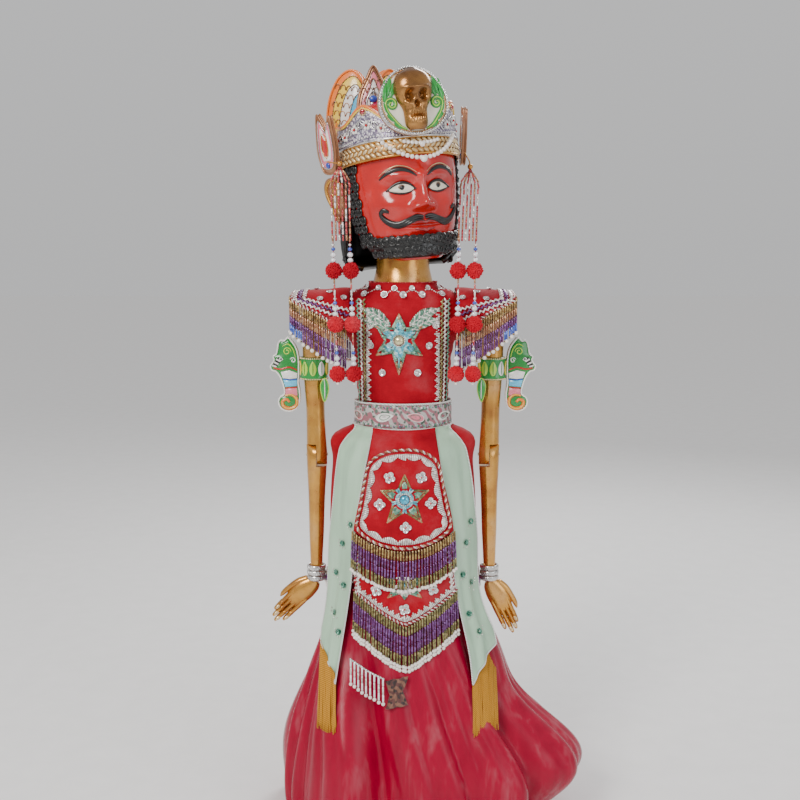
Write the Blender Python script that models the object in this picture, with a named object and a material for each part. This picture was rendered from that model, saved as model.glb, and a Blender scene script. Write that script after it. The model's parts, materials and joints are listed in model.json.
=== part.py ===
"""Wayang golek rod puppet: an ogre king on a turned wooden stand.

Metres, +Z up. The origin is the centre of the stand's underside, on the central rod's axis.
The puppet faces -Y. Left and right are the puppet's own, so its right arm is on the -X side.
"""

import math

import bmesh
import bpy
from mathutils import Matrix, Vector

# ---------------------------------------------------------------- driving dimensions
GAP = 0.0004  # between pieces that touch
CLOTH = 0.0014  # thickness of a cloth panel

STAND_RADIUS = 0.086
STAND_THICK = 0.020
STAND_BOSS_RADIUS = 0.021
STAND_BOSS_TOP = 0.058
SOCKET_FLOOR = 0.014

ROD_RADIUS = 0.0070
ROD_BORE = 0.0077
ROD_TOP = 0.640

WAIST_Z = 0.405
TORSO_TOP = 0.548
NECK_RADIUS = 0.0300
NECK_TOP = 0.604
COLLAR_TOP = 0.5585
HEAD_TURN = math.radians(20)  # at rest the head looks a little to the puppet's left
HEAD_TILT = math.radians(-5)  # and its block is carved leaning a little to the right
TILT_Z = 0.600

SHOULDER_X = 0.0735  # the arm cord's inner knot, in the torso's side
SHOULDER_Z = 0.522
ARM_X = 0.0915  # the arm's centre at the shoulder
ELBOW_X = 0.0880
ELBOW_Z = 0.382
ELBOW_RADIUS = 0.0105
WRIST_X = 0.0900
WRIST_Z = 0.249
CORD_RADIUS = 0.0015
CORD_HOLE = 0.0021
HAND_LENGTH = 0.068
HAND_THICK = 0.0092

SKIRT_TOP = 0.372
HEM_Z = 0.0012
BULGE = 0.055  # how far the satin billows out on the puppet's left
TASSEL_TOP = 0.666
STRAND_SPREAD = 0.0080
POMPON_RADIUS = 0.0088
POMPON_HEIGHTS = (0.570, 0.519, 0.471)

RIGHT, LEFT = -1, 1
SIDE_NAME = {RIGHT: "right", LEFT: "left"}
HAND_LEAN = {RIGHT: math.radians(50), LEFT: math.radians(29)}  # how far each hand bends outwards

# Cross-sections as (height, half width, half depth).
TORSO = (
    (0.338, 0.0590, 0.0430),
    (0.346, 0.0645, 0.0475),
    (0.375, 0.0630, 0.0455),
    (0.391, 0.0570, 0.0410),
    (0.404, 0.0460, 0.0330),
    (0.418, 0.0425, 0.0300),
    (0.437, 0.0430, 0.0310),
    (0.470, 0.0455, 0.0345),
    (0.498, 0.0500, 0.0370),
    (0.511, 0.0620, 0.0370),
    (0.522, 0.0715, 0.0365),
    (0.532, 0.0700, 0.0360),
    (0.541, 0.0600, 0.0355),
    (TORSO_TOP, 0.0440, 0.0345),
)
GARMENT = (
    (HEM_Z, 0.1230, 0.1000),
    (0.018, 0.1275, 0.1040),
    (0.050, 0.1290, 0.1055),
    (0.082, 0.1245, 0.1020),
    (0.115, 0.1150, 0.0940),
    (0.150, 0.1025, 0.0840),
    (0.195, 0.0855, 0.0705),
    (0.240, 0.0760, 0.0625),
    (0.290, 0.0742, 0.0595),
    (0.340, 0.0725, 0.0560),
    (SKIRT_TOP, 0.0702, 0.0530),
    (0.390, 0.0670, 0.0500),
    (0.404, 0.0590, 0.0440),
    (0.4130, 0.0480, 0.0355),
    (0.440, 0.0465, 0.0345),
)
HEAD = (  # (height, half width, half depth, centre y)
    (0.581, 0.0220, 0.0180, -0.040),
    (0.588, 0.0350, 0.0320, -0.028),
    (0.600, 0.0440, 0.0450, -0.016),
    (0.620, 0.0505, 0.0540, -0.008),
    (0.645, 0.0540, 0.0590, -0.004),
    (0.668, 0.0550, 0.0600, -0.003),
    (0.690, 0.0530, 0.0580, -0.003),
    (0.712, 0.0470, 0.0520, -0.003),
    (0.729, 0.0330, 0.0370, -0.002),
    (0.737, 0.0140, 0.0160, 0.000),
)
UPPER_ARM = (
    (0.5305, 0.0040, 0.0040),
    (0.5285, 0.0075, 0.0080),
    (0.522, 0.0098, 0.0105),
    (0.500, 0.0108, 0.0118),
    (0.462, 0.0106, 0.0114),
    (0.430, 0.0094, 0.0100),
    (0.402, 0.0098, 0.0103),
    (ELBOW_Z + 0.004, 0.0105, ELBOW_RADIUS),
)
FOREARM = (
    (ELBOW_Z - 0.004, 0.0105, ELBOW_RADIUS),
    (0.362, 0.0098, 0.0100),
    (0.340, 0.0086, 0.0090),
    (0.300, 0.0076, 0.0080),
    (0.272, 0.0064, 0.0068),
    (WRIST_Z, 0.0062, 0.0062),
)

# Outlines as (x, z), for the puppet's left. A plate of the right side mirrors its own.
HAND_OUTLINE = (
    (-0.0062, 0.0000),
    (-0.0105, -0.0120),
    (-0.0118, -0.0260),
    (-0.0110, -0.0400),
    (-0.0085, -0.0550),
    (-0.0045, -HAND_LENGTH),
    (0.0015, -HAND_LENGTH + 0.0010),
    (0.0068, -0.0580),
    (0.0100, -0.0440),
    (0.0122, -0.0340),
    (0.0125, -0.0220),
    (0.0108, -0.0110),
    (0.0062, 0.0000),
)
ARMLET_OUTLINE = (
    (0.1052, 0.4600),
    (0.1052, 0.4820),
    (0.1090, 0.4940),
    (0.1160, 0.5000),
    (0.1250, 0.4960),
    (0.1290, 0.4830),
    (0.1330, 0.4700),
    (0.1265, 0.4670),
    (0.1215, 0.4560),
    (0.1185, 0.4440),
    (0.1240, 0.4380),
    (0.1235, 0.4310),
    (0.1150, 0.4275),
    (0.1070, 0.4320),
    (0.1045, 0.4440),
)
ROUND_PLUME = (
    (-0.0130, 0.0000),
    (-0.0190, 0.0200),
    (-0.0180, 0.0440),
    (-0.0100, 0.0640),
    (0.0010, 0.0700),
    (0.0110, 0.0640),
    (0.0170, 0.0440),
    (0.0160, 0.0200),
    (0.0110, 0.0000),
)
POINTED_PLUME = (
    (-0.0100, 0.0000),
    (-0.0150, 0.0200),
    (-0.0120, 0.0420),
    (0.0010, 0.0660),
    (0.0130, 0.0440),
    (0.0140, 0.0200),
    (0.0100, 0.0000),
)
WING_OUTLINE = (
    (-0.0100, 0.0000),
    (-0.0160, 0.0200),
    (-0.0150, 0.0520),
    (-0.0060, 0.0400),
    (0.0040, 0.0560),
    (0.0090, 0.0420),
    (0.0130, 0.0200),
    (0.0080, 0.0000),
)
EAR_OUTLINE = (
    (-0.0030, -0.0230),
    (0.0080, -0.0170),
    (0.0165, 0.0040),
    (0.0180, 0.0150),
    (0.0090, 0.0230),
    (-0.0050, 0.0210),
)


# ---------------------------------------------------------------- scene and materials
def clear_scene():
    for obj in list(bpy.data.objects):
        bpy.data.objects.remove(obj)


def material(name, colour, roughness=0.5, metallic=0.0):
    made = bpy.data.materials.new(name)
    made.use_nodes = True
    shader = made.node_tree.nodes["Principled BSDF"]
    shader.inputs["Base Color"].default_value = (*colour, 1)
    shader.inputs["Roughness"].default_value = roughness
    shader.inputs["Metallic"].default_value = metallic
    return made


def make_materials():
    return {
        "dark_wood": material("dark_wood", (0.16, 0.07, 0.03), 0.45),
        "pale_wood": material("pale_wood", (0.55, 0.38, 0.22), 0.6),
        "gold_paint": material("gold_paint", (0.72, 0.42, 0.10), 0.3, 0.7),
        "red_lacquer": material("red_lacquer", (0.75, 0.04, 0.03), 0.2),
        "black_lacquer": material("black_lacquer", (0.01, 0.01, 0.01), 0.25),
        "crown_paint": material("crown_paint", (0.75, 0.68, 0.60), 0.35),
        "velvet": material("velvet", (0.62, 0.01, 0.04), 0.9),
        "satin": material("satin", (0.62, 0.02, 0.10), 0.35),
        "mint_satin": material("mint_satin", (0.60, 0.72, 0.62), 0.4),
        "brocade": material("brocade", (0.45, 0.42, 0.40), 0.5),
        "beads": material("beads", (0.45, 0.18, 0.25), 0.2),
        "gold_thread": material("gold_thread", (0.90, 0.50, 0.04), 0.5),
        "pompon": material("pompon", (0.80, 0.02, 0.05), 0.95),
        "pearl": material("pearl", (0.85, 0.78, 0.75), 0.2),
        "silver": material("silver", (0.75, 0.75, 0.78), 0.2, 0.9),
        "green_paint": material("green_paint", (0.04, 0.50, 0.10), 0.3),
        "cord": material("cord", (0.80, 0.76, 0.66), 0.9),
    }


def empty(name, place):
    made = bpy.data.objects.new(name, None)
    bpy.context.scene.collection.objects.link(made)
    made.matrix_world = place
    return made


def add_object(name, bm, finish, parent=None, smooth_angle=40):
    """Links a bmesh as an object, with its faces turned outwards."""
    bmesh.ops.remove_doubles(bm, verts=bm.verts, dist=1e-6)
    bmesh.ops.recalc_face_normals(bm, faces=bm.faces)
    mesh = bpy.data.meshes.new(name)
    bm.to_mesh(mesh)
    bm.free()
    mesh.shade_smooth()
    mesh.set_sharp_from_angle(angle=math.radians(smooth_angle))
    if finish is not None:
        mesh.materials.append(finish)
    made = bpy.data.objects.new(name, mesh)
    bpy.context.scene.collection.objects.link(made)
    made.parent = parent
    return made


def add_cutter(name, bm, parent=None):
    made = add_object(name, bm, None, parent)
    made.hide_render = True
    made.display_type = "WIRE"
    return made


def cut(target, cutter, operation="DIFFERENCE", use_self=False):
    boolean = target.modifiers.new(cutter.name, "BOOLEAN")
    boolean.operation = operation
    boolean.object = cutter
    boolean.use_self = use_self


# ---------------------------------------------------------------- shape tools
def steps(first, last, count):
    return [first + (last - first) * k / (count - 1) for k in range(count)]


def section_at(stations, z):
    """The sizes at height z, on straight lines between the stations."""
    rows = sorted(stations)
    if z <= rows[0][0]:
        return rows[0][1:]
    for low, high in zip(rows, rows[1:]):
        if z <= high[0]:
            share = (z - low[0]) / (high[0] - low[0])
            return tuple(a + (b - a) * share for a, b in zip(low[1:], high[1:]))
    return rows[-1][1:]


def oval(centre_x, centre_y, z, half_width, half_depth, count=24):
    turn = 2 * math.pi / count
    ring = []
    for k in range(count):
        x = centre_x + half_width * math.cos(k * turn)
        y = centre_y + half_depth * math.sin(k * turn)
        ring.append(Vector((x, y, z)))
    return ring


def skin(bm, rings, closed=True):
    """Quads between rings of equal length. Returns the vertices, ring by ring."""
    verts = [[bm.verts.new(p) for p in ring] for ring in rings]
    count = len(rings[0])
    for low, high in zip(verts, verts[1:]):
        for k in range(count if closed else count - 1):
            after = (k + 1) % count
            bm.faces.new((low[k], low[after], high[after], high[k]))
    return verts


def loft(rings):
    """A closed solid through the rings, with a flat face at each end."""
    bm = bmesh.new()
    verts = skin(bm, rings)
    bm.faces.new(reversed(verts[0]))
    bm.faces.new(verts[-1])
    return bm


def sleeve(outer, inner):
    """A tube wall between outer and inner rings, open at both ends."""
    bm = bmesh.new()
    skin(bm, outer + list(reversed(inner)) + [outer[0]])
    return bm


def turned(profile, count=24, place=Matrix.Identity(4)):
    """Spins (radius, height) points about Z. A profile that ends where it starts makes a ring."""
    bm = bmesh.new()
    is_ring = profile[0] == profile[-1]
    verts = [bm.verts.new((r, 0, z)) for r, z in (profile[:-1] if is_ring else profile)]
    after = verts[1:] + verts[:1] if is_ring else verts[1:]
    edges = [bm.edges.new(pair) for pair in zip(verts, after)]
    bmesh.ops.spin(
        bm,
        geom=verts + edges,
        cent=(0, 0, 0),
        axis=(0, 0, 1),
        angle=2 * math.pi,
        steps=count,
        use_merge=True,
    )
    bmesh.ops.remove_doubles(bm, verts=bm.verts, dist=1e-6)
    bmesh.ops.transform(bm, matrix=place, verts=bm.verts)
    return bm


def cylinder(radius, start, end, count=16):
    """A closed cylinder between two points."""
    start, end = Vector(start), Vector(end)
    bm = bmesh.new()
    turn = (end - start).to_track_quat("Z", "Y").to_matrix().to_4x4()
    bmesh.ops.create_cone(
        bm,
        cap_ends=True,
        segments=count,
        radius1=radius,
        radius2=radius,
        depth=(end - start).length,
        matrix=Matrix.Translation((start + end) / 2) @ turn,
    )
    return bm


def box(low, high, place=Matrix.Identity(4)):
    low, high = Vector(low), Vector(high)
    bm = bmesh.new()
    fit = Matrix.Translation((low + high) / 2) @ Matrix.Diagonal((*(high - low), 1))
    bmesh.ops.create_cube(bm, size=1, matrix=place @ fit)
    return bm


def ball(bm, centre, radius, segments=10, rings=7, squash=1.0):
    place = Matrix.Translation(centre) @ Matrix.Diagonal((1, 1, squash, 1))
    bmesh.ops.create_uvsphere(bm, u_segments=segments, v_segments=rings, radius=radius, matrix=place)


def plate(outline, thickness, place=Matrix.Identity(4)):
    """An outline of (x, z) points extruded along Y, half to each side."""
    bm = bmesh.new()
    front = [bm.verts.new((x, -thickness / 2, z)) for x, z in outline]
    made = bmesh.ops.extrude_face_region(bm, geom=[bm.faces.new(front)])
    moved = [item for item in made["geom"] if isinstance(item, bmesh.types.BMVert)]
    bmesh.ops.translate(bm, verts=moved, vec=(0, thickness, 0))
    bmesh.ops.transform(bm, matrix=place, verts=bm.verts)
    return bm


def soften(obj, width):
    bevel = obj.modifiers.new("softened_edges", "BEVEL")
    bevel.width = width
    bevel.segments = 1
    bevel.limit_method = "ANGLE"
    bevel.angle_limit = math.radians(50)


def cloth(name, rows, finish, outwards, thickness=CLOTH):
    """A panel through a grid of points, thickened on the side that faces outwards."""
    bm = bmesh.new()
    skin(bm, rows, closed=False)
    bmesh.ops.remove_doubles(bm, verts=bm.verts, dist=1e-6)
    bmesh.ops.recalc_face_normals(bm, faces=bm.faces)
    total = sum((face.normal * face.calc_area() for face in bm.faces), Vector())
    if total.dot(Vector(outwards)) < 0:
        bmesh.ops.reverse_faces(bm, faces=bm.faces)
    mesh = bpy.data.meshes.new(name)
    bm.to_mesh(mesh)
    bm.free()
    mesh.shade_smooth()
    mesh.set_sharp_from_angle(angle=math.radians(40))
    mesh.materials.append(finish)
    made = bpy.data.objects.new(name, mesh)
    bpy.context.scene.collection.objects.link(made)
    solid = made.modifiers.new("thickness", "SOLIDIFY")
    solid.thickness = thickness
    solid.offset = 1.0
    return made


def curve_tube(name, points, radius, finish, parent=None):
    curve = bpy.data.curves.new(name, "CURVE")
    curve.dimensions = "3D"
    curve.bevel_depth = radius
    curve.bevel_resolution = 1
    curve.use_fill_caps = True
    spline = curve.splines.new("POLY")
    spline.points.add(len(points) - 1)
    for target, point in zip(spline.points, points):
        target.co = (*point, 1)
    curve.materials.append(finish)
    made = bpy.data.objects.new(name, curve)
    bpy.context.scene.collection.objects.link(made)
    made.parent = parent
    return made


# ---------------------------------------------------------------- the shape the clothes hang on
def billow(angle, z):
    """How much further the satin stands out on the puppet's left."""
    side = max(0.0, math.sin(angle + math.radians(8))) ** 2
    low = BULGE * math.exp(-(((z - 0.068) / 0.050) ** 2))
    return side * (low + 0.011 * math.exp(-(((z - 0.185) / 0.040) ** 2)))


def garment_point(angle, z, offset):
    """A point on the skirt's surface. Angle 0 is the front and 90 degrees the puppet's left."""
    half_width, half_depth = section_at(GARMENT, z)
    away = offset + billow(angle, z)
    return Vector(((half_width + away) * math.sin(angle), -(half_depth + away) * math.cos(angle), z))


def angle_at(x, z, offset):
    half_width = section_at(GARMENT, z)[0] + offset
    return math.asin(max(-1.0, min(1.0, x / half_width)))


def tapering(high, low):
    """A side edge through two (z, x) points, as a function of z."""
    return lambda z: high[1] + (low[1] - high[1]) * (high[0] - z) / (high[0] - low[0])


def panel(name, finish, offset, top, edges, hem, thickness=CLOTH, columns=7):
    """A panel on the garment. top and hem give heights across it, from -1 to 1, and edges give x."""
    across = steps(-1, 1, columns)
    highest_hem = max(hem(u) for u in across)
    lowest_top = min(top(u) for u in across)
    between = [s[0] for s in GARMENT if highest_hem + 0.006 < s[0] < lowest_top - 0.004]
    lines = [top] + [lambda u, z=z: z for z in reversed(between)] + [hem]
    if not between:
        lines[1:1] = [lambda u, k=k: top(u) + (hem(u) - top(u)) * k / 3 for k in (1, 2)]
    rows = []
    for line in lines:
        row = []
        for u in across:
            z = line(u)
            share = (u + 1) / 2
            x = edges[0](z) * (1 - share) + edges[1](z) * share
            row.append(garment_point(angle_at(x, z, offset), z, offset))
        rows.append(row)
    cloth(name, rows, finish, (0, -1, 0), thickness)


# ---------------------------------------------------------------- stand, rod and torso
def build_stand(finish):
    profile = [
        (0.0, 0.0),
        (STAND_RADIUS - 0.004, 0.0),
        (STAND_RADIUS, 0.004),
        (STAND_RADIUS, STAND_THICK - 0.006),
        (STAND_RADIUS - 0.008, STAND_THICK),
        (STAND_BOSS_RADIUS + 0.012, STAND_THICK + 0.002),
        (STAND_BOSS_RADIUS, STAND_THICK + 0.012),
        (STAND_BOSS_RADIUS - 0.003, STAND_BOSS_TOP),
        (ROD_BORE, STAND_BOSS_TOP),
        (ROD_BORE, SOCKET_FLOOR),
        (0.0, SOCKET_FLOOR),
    ]
    add_object("stand_base", turned(profile, 28), finish["dark_wood"])


def build_rod(finish, head):
    profile = [
        (0.0, SOCKET_FLOOR + GAP),
        (ROD_RADIUS - 0.002, SOCKET_FLOOR + GAP),
        (ROD_RADIUS, SOCKET_FLOOR + 0.006),
        (ROD_RADIUS, ROD_TOP - 0.003),
        (ROD_RADIUS - 0.002, ROD_TOP),
        (0.0, ROD_TOP),
    ]
    add_object("central_rod", turned(profile, 14), finish["pale_wood"], head)


def build_torso(finish):
    rings = [oval(0, 0, z, w, d, 20) for z, w, d in TORSO]
    torso = add_object("torso", loft(rings), finish["pale_wood"])
    cut(torso, add_cutter("rod_bore", cylinder(ROD_BORE, (0, 0, 0.30), (0, 0, 0.60), 16)))
    for side in (RIGHT, LEFT):
        cup = bmesh.new()
        ball(cup, (side * SHOULDER_X, 0, SHOULDER_Z), 0.0042)
        cut(torso, add_cutter(f"{SIDE_NAME[side]}_cord_cup", cup))


# ---------------------------------------------------------------- clothes
def build_bodice(finish):
    outside, inside = 0.0023, 0.0009
    outer, inner = [], []
    for z, w, d in [row for row in TORSO if row[0] > 0.43]:
        outer.append(oval(0, 0, z, w + outside, d + outside, 20))
        inner.append(oval(0, 0, z, w + inside, d + inside, 20))
    outer[-1] = [p + Vector((0, 0, outside)) for p in outer[-1]]
    inner[-1] = [p + Vector((0, 0, inside)) for p in inner[-1]]
    neck_hole = NECK_RADIUS + 0.0012
    outer.append(oval(0, 0, TORSO_TOP + outside, neck_hole, neck_hole, 20))
    inner.append(oval(0, 0, TORSO_TOP + inside, neck_hole, neck_hole, 20))
    bodice = add_object("velvet_bodice", sleeve(outer, inner), finish["velvet"])
    for side in (RIGHT, LEFT):
        hole = cylinder(0.0065, (side * 0.060, 0, SHOULDER_Z), (side * 0.080, 0, SHOULDER_Z), 10)
        cut(bodice, add_cutter(f"{SIDE_NAME[side]}_arm_hole", hole))


def build_collar(finish):
    inner, wall, foot = NECK_RADIUS + 0.0014, 0.0018, TORSO_TOP + 0.0027
    profile = [
        (inner, foot),
        (inner + wall + 0.001, foot),
        (inner + wall, COLLAR_TOP),
        (inner, COLLAR_TOP),
        (inner, foot),
    ]
    add_object("collar", turned(profile, 24), finish["velvet"])


def build_belt(finish):
    outer, inner = [], []
    for z in (0.4145, 0.426, 0.4375):
        w, d = section_at(GARMENT, z)
        outer.append(oval(0, 0, z, w + 0.0030, d + 0.0030, 28))
        inner.append(oval(0, 0, z, w + 0.0008, d + 0.0008, 28))
    add_object("belt", sleeve(outer, inner), finish["brocade"])


def build_skirt(finish):
    angles = [2 * math.pi * k / 32 for k in range(32)]
    heights = [row[0] for row in GARMENT if row[0] <= SKIRT_TOP]
    outer = [[garment_point(a, z, 0.0) for a in angles] for z in heights]
    inner = [[garment_point(a, z, -0.0016) for a in angles] for z in heights]
    add_object("satin_skirt", sleeve(outer, inner), finish["satin"])


def build_aprons(finish):
    velvet, beads = finish["velvet"], finish["beads"]
    panel(
        "upper_apron",
        velvet,
        0.0066,
        lambda u: 0.4120,
        (tapering((0.4120, -0.031), (0.317, -0.049)), tapering((0.4120, 0.032), (0.317, 0.050))),
        lambda u: 0.298 + 0.020 * u * u,
    )
    panel(
        "upper_bead_fringe",
        beads,
        0.0094,
        lambda u: 0.312,
        (lambda z: -0.046, lambda z: 0.048),
        lambda u: 0.254 + 0.018 * u * u,
        0.0018,
    )
    panel(
        "lower_apron",
        velvet,
        0.0066,
        lambda u: 0.2925 + 0.018 * u * u,
        (tapering((0.312, -0.043), (0.250, -0.048)), tapering((0.312, 0.044), (0.250, 0.052))),
        lambda u: 0.220 + 0.031 * abs(u) ** 1.3,
        columns=9,
    )
    panel(
        "lower_bead_fringe",
        beads,
        0.0094,
        lambda u: 0.243 + 0.006 * u * u,
        (lambda z: -0.046, lambda z: 0.050),
        lambda u: 0.175 + 0.036 * abs(u) ** 1.2,
        0.0018,
        columns=9,
    )


def build_sashes(finish):
    inner_edge = tapering((0.410, 0.030), (0.160, 0.064))
    lower_edge = tapering((0.400, 0.062), (0.200, 0.083))

    def outer_edge(z):
        return min(lower_edge(z), 0.93 * (section_at(GARMENT, z)[0] + 0.0042))

    for side in (RIGHT, LEFT):
        edges = [lambda z, s=side, e=edge: s * e(z) for edge in (inner_edge, outer_edge)]
        if side == RIGHT:
            edges.reverse()
        name = f"{SIDE_NAME[side]}_sash"
        panel(
            name,
            finish["mint_satin"],
            0.0042,
            lambda u: 0.4110,
            edges,
            lambda u, s=side: 0.1785 + 0.0155 * u * s,
            columns=7,
        )
        panel(
            f"{name}_fringe",
            finish["gold_thread"],
            0.0042,
            lambda u, s=side: 0.1770 + 0.0155 * u * s,
            edges,
            lambda u, s=side: 0.120 + 0.003 * u * s,
            columns=5,
        )


def build_side_and_back_panels(finish):
    """The velvet hip flaps and the back flap, which lie round the sides and the back."""
    spans = {
        "right_hip_flap": (-128, -42, 0.262),
        "left_hip_flap": (42, 128, 0.262),
        "back_flap": (133, 227, 0.215),
    }
    for name, (first, last, low) in spans.items():
        heights = [0.4110] + [row[0] for row in reversed(GARMENT) if low + 0.01 < row[0] < 0.408] + [low]
        rows = []
        for z in heights:
            rows.append([garment_point(math.radians(a), z, 0.0010) for a in steps(first, last, 9)])
        middle = math.radians((first + last) / 2)
        cloth(name, rows, finish["velvet"], (math.sin(middle), -math.cos(middle), 0))


def build_bead_row_and_tab(finish):
    """The silver chain with bead strands, and the end of the batik cloth beside it."""
    panel(
        "silver_bead_row",
        finish["silver"],
        0.0066,
        lambda u: 0.1700 + 0.0190 * (u - 1) / -2,
        (lambda z: -0.051, lambda z: -0.019),
        lambda u: 0.151 - 0.004 * u,
        0.0018,
        columns=4,
    )
    panel(
        "batik_tab",
        finish["brocade"],
        0.0022,
        lambda u: 0.1740,
        (lambda z: -0.0165, lambda z: 0.005),
        lambda u: 0.148,
        0.0012,
        columns=3,
    )


# ---------------------------------------------------------------- head and crown, in their own frame
def head_rings(proud, stations=HEAD, count=24):
    return [oval(0, y, z, w + proud, d + proud, count) for z, w, d, y in stations]


def head_surface(angle, z, proud):
    """A point this far off the head block. Angle 0 is the face and 90 degrees its left."""
    w, d, y = section_at(HEAD, z)
    return Vector(((w + proud) * math.sin(angle), y - (d + proud) * math.cos(angle), z))


def build_neck(finish, head):
    profile = [
        (ROD_BORE, TORSO_TOP + 0.0006),
        (NECK_RADIUS, TORSO_TOP + 0.0006),
        (NECK_RADIUS, 0.558),
        (0.0262, 0.575),
        (0.0268, 0.590),
        (0.0275, NECK_TOP),
        (ROD_BORE, NECK_TOP),
        (ROD_BORE, TORSO_TOP + 0.0006),
    ]
    add_object("neck", turned(profile, 24), finish["gold_paint"], head)


def build_head(finish, head, tilted):
    block = add_object("head", loft(head_rings(0)), finish["red_lacquer"], tilted)
    seat_radius, seat_top = 0.0289, NECK_TOP + GAP
    seat = [(0.0, 0.560), (seat_radius, 0.560), (seat_radius, seat_top), (0.0, seat_top)]
    cut(block, add_cutter("neck_seat", turned(seat, 24), head))
    bore = cylinder(ROD_BORE, (0, 0, NECK_TOP - 0.004), (0, 0, ROD_TOP + 0.001))
    cut(block, add_cutter("head_bore", bore, head))
    nose = bmesh.new()
    ball(nose, (0, -0.064, 0.636), 0.0130, squash=0.8)
    cut(block, add_cutter("nose_form", nose, tilted), "UNION")


def build_beard(finish, tilted):
    """The carved beard: a band that follows the jaw from ear to ear."""
    arc = [math.radians(a) for a in steps(-88, 88, 15)]
    outer, inner = [], []
    for z, proud in ((0.5835, 0.0040), (0.588, 0.0055), (0.600, 0.0055), (0.604, 0.0040)):
        outer.append([head_surface(a, z, proud) for a in arc])
        inner.append([head_surface(a, z, 0.0012) for a in arc])
    bm = bmesh.new()
    rings = outer + list(reversed(inner))
    verts = skin(bm, rings + rings[:1], closed=False)
    for end in (0, -1):
        bm.faces.new([ring[end] for ring in verts[:-1]])
    add_object("beard", bm, finish["black_lacquer"], tilted)


def build_hair(finish, tilted):
    """The hair that falls behind the ears to the nape."""
    arc = [math.radians(a) for a in steps(96, 264, 13)]
    sections = (  # (height, half width, half depth, centre y), then the same for its inner side
        ((0.571, 0.0450, 0.0440, 0.000), (0.571, 0.0340, 0.0350, -0.002)),
        ((0.580, 0.0590, 0.0560, 0.000), (0.580, 0.0360, 0.0380, -0.002)),
        ((0.596, 0.0620, 0.0610, -0.001), (0.596, 0.0450, 0.0470, -0.008)),
        ((0.6165, 0.0600, 0.0650, -0.002), (0.6165, 0.0515, 0.0555, -0.007)),
    )
    outer = [[Vector((w * math.sin(a), y - d * math.cos(a), z)) for a in arc] for (z, w, d, y), _ in sections]
    inner = [[Vector((w * math.sin(a), y - d * math.cos(a), z)) for a in arc] for _, (z, w, d, y) in sections]
    bm = bmesh.new()
    rings = outer + list(reversed(inner))
    verts = skin(bm, rings + rings[:1], closed=False)
    for end in (0, -1):
        bm.faces.new([ring[end] for ring in verts[:-1]])
    hair = add_object("hair", bm, finish["black_lacquer"], tilted)
    cut(hair, add_cutter("hair_hollow", loft(head_rings(0.0008)), tilted))


def build_ears(finish, tilted):
    for side in (RIGHT, LEFT):
        place = Matrix.Translation((side * 0.0580, 0.008, 0.642))
        place = place @ Matrix.Rotation(side * math.radians(52), 4, "Z")
        outline = [(side * x, z) for x, z in EAR_OUTLINE]
        name = f"{SIDE_NAME[side]}_ear"
        ear = add_object(name, plate(outline, 0.0050, place), finish["gold_paint"], tilted)
        soften(ear, 0.0012)
        cut(ear, add_cutter(f"{name}_seat", loft(head_rings(0.0006)), tilted))


def band_middle(angle):
    """The brow band is highest at the forehead. Angle 0 is the front."""
    return 0.6800 + 0.0070 * math.cos(angle)


def diadem_top(angle):
    """The diadem rises to a lobe on each side of the medallion, and to lower ones behind."""
    turn = abs(math.degrees(math.atan2(math.sin(angle), math.cos(angle))))
    lobes = 0.017 * math.exp(-(((turn - 52) / 18) ** 2)) + 0.010 * math.exp(-(((turn - 128) / 24) ** 2))
    return 0.7095 + lobes


def build_band_and_diadem(finish, tilted):
    angles = [2 * math.pi * k / 32 for k in range(32)]
    outer, inner = [], []
    for share in (-1, 0, 1):
        proud = 0.0058 - 0.0020 * share * share
        outer.append([head_surface(a, band_middle(a) + 0.0075 * share, proud) for a in angles])
        inner.append([head_surface(a, band_middle(a) + 0.0075 * share, 0.0009) for a in angles])
    add_object("crown_band", sleeve(outer, inner), finish["gold_paint"], tilted)

    def ring(height, w, d):
        return [Vector((w * math.sin(a), -0.003 - d * math.cos(a), height(a))) for a in angles]

    def low(a):
        return band_middle(a) + 0.0075 + GAP

    outer = [ring(low, 0.0590, 0.0645), ring(diadem_top, 0.0570, 0.0620)]
    inner = [ring(low, 0.0556, 0.0611), ring(diadem_top, 0.0536, 0.0586)]
    add_object("crown_diadem", sleeve(outer, inner), finish["crown_paint"], tilted)

    def above(a):
        return diadem_top(a) + GAP

    outer = [ring(lambda a: 0.655, 0.0900, 0.0950), ring(above, 0.0900, 0.0950)]
    inner = [ring(lambda a: 0.655, 0.0532, 0.0582), ring(above, 0.0532, 0.0582)]
    return add_cutter("diadem_room", sleeve(outer, inner), tilted)


def build_plumes(finish, tilted, diadem_room):
    """The fan of carved plumes that stands on the crown."""
    plumes = (
        ("right_rear_plume", ROUND_PLUME, (-0.0455, 0.0240), -38, 14, 1.00),
        ("left_rear_plume", ROUND_PLUME, (0.0140, 0.0380), 14, -3, 1.00),
        ("middle_plume", POINTED_PLUME, (-0.0250, -0.0100), -12, 3, 1.02),
    )
    crest = [row for row in HEAD if row[0] > 0.66] + [(0.7374, 0.0020, 0.0020, 0.0)]
    for name, outline, (x, y), turn, lean, size in plumes:
        place = Matrix.Translation((x, y, 0.6985))
        place = place @ Matrix.Rotation(math.radians(turn), 4, "Z")
        place = place @ Matrix.Rotation(math.radians(lean), 4, "Y") @ Matrix.Scale(size, 4)
        made = add_object(name, plate(outline, 0.0100, place), finish["crown_paint"], tilted)
        soften(made, 0.0020)
        cut(made, add_cutter(f"{name}_head_room", loft(head_rings(0.0008, crest)), tilted))
        cut(made, diadem_room)


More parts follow.
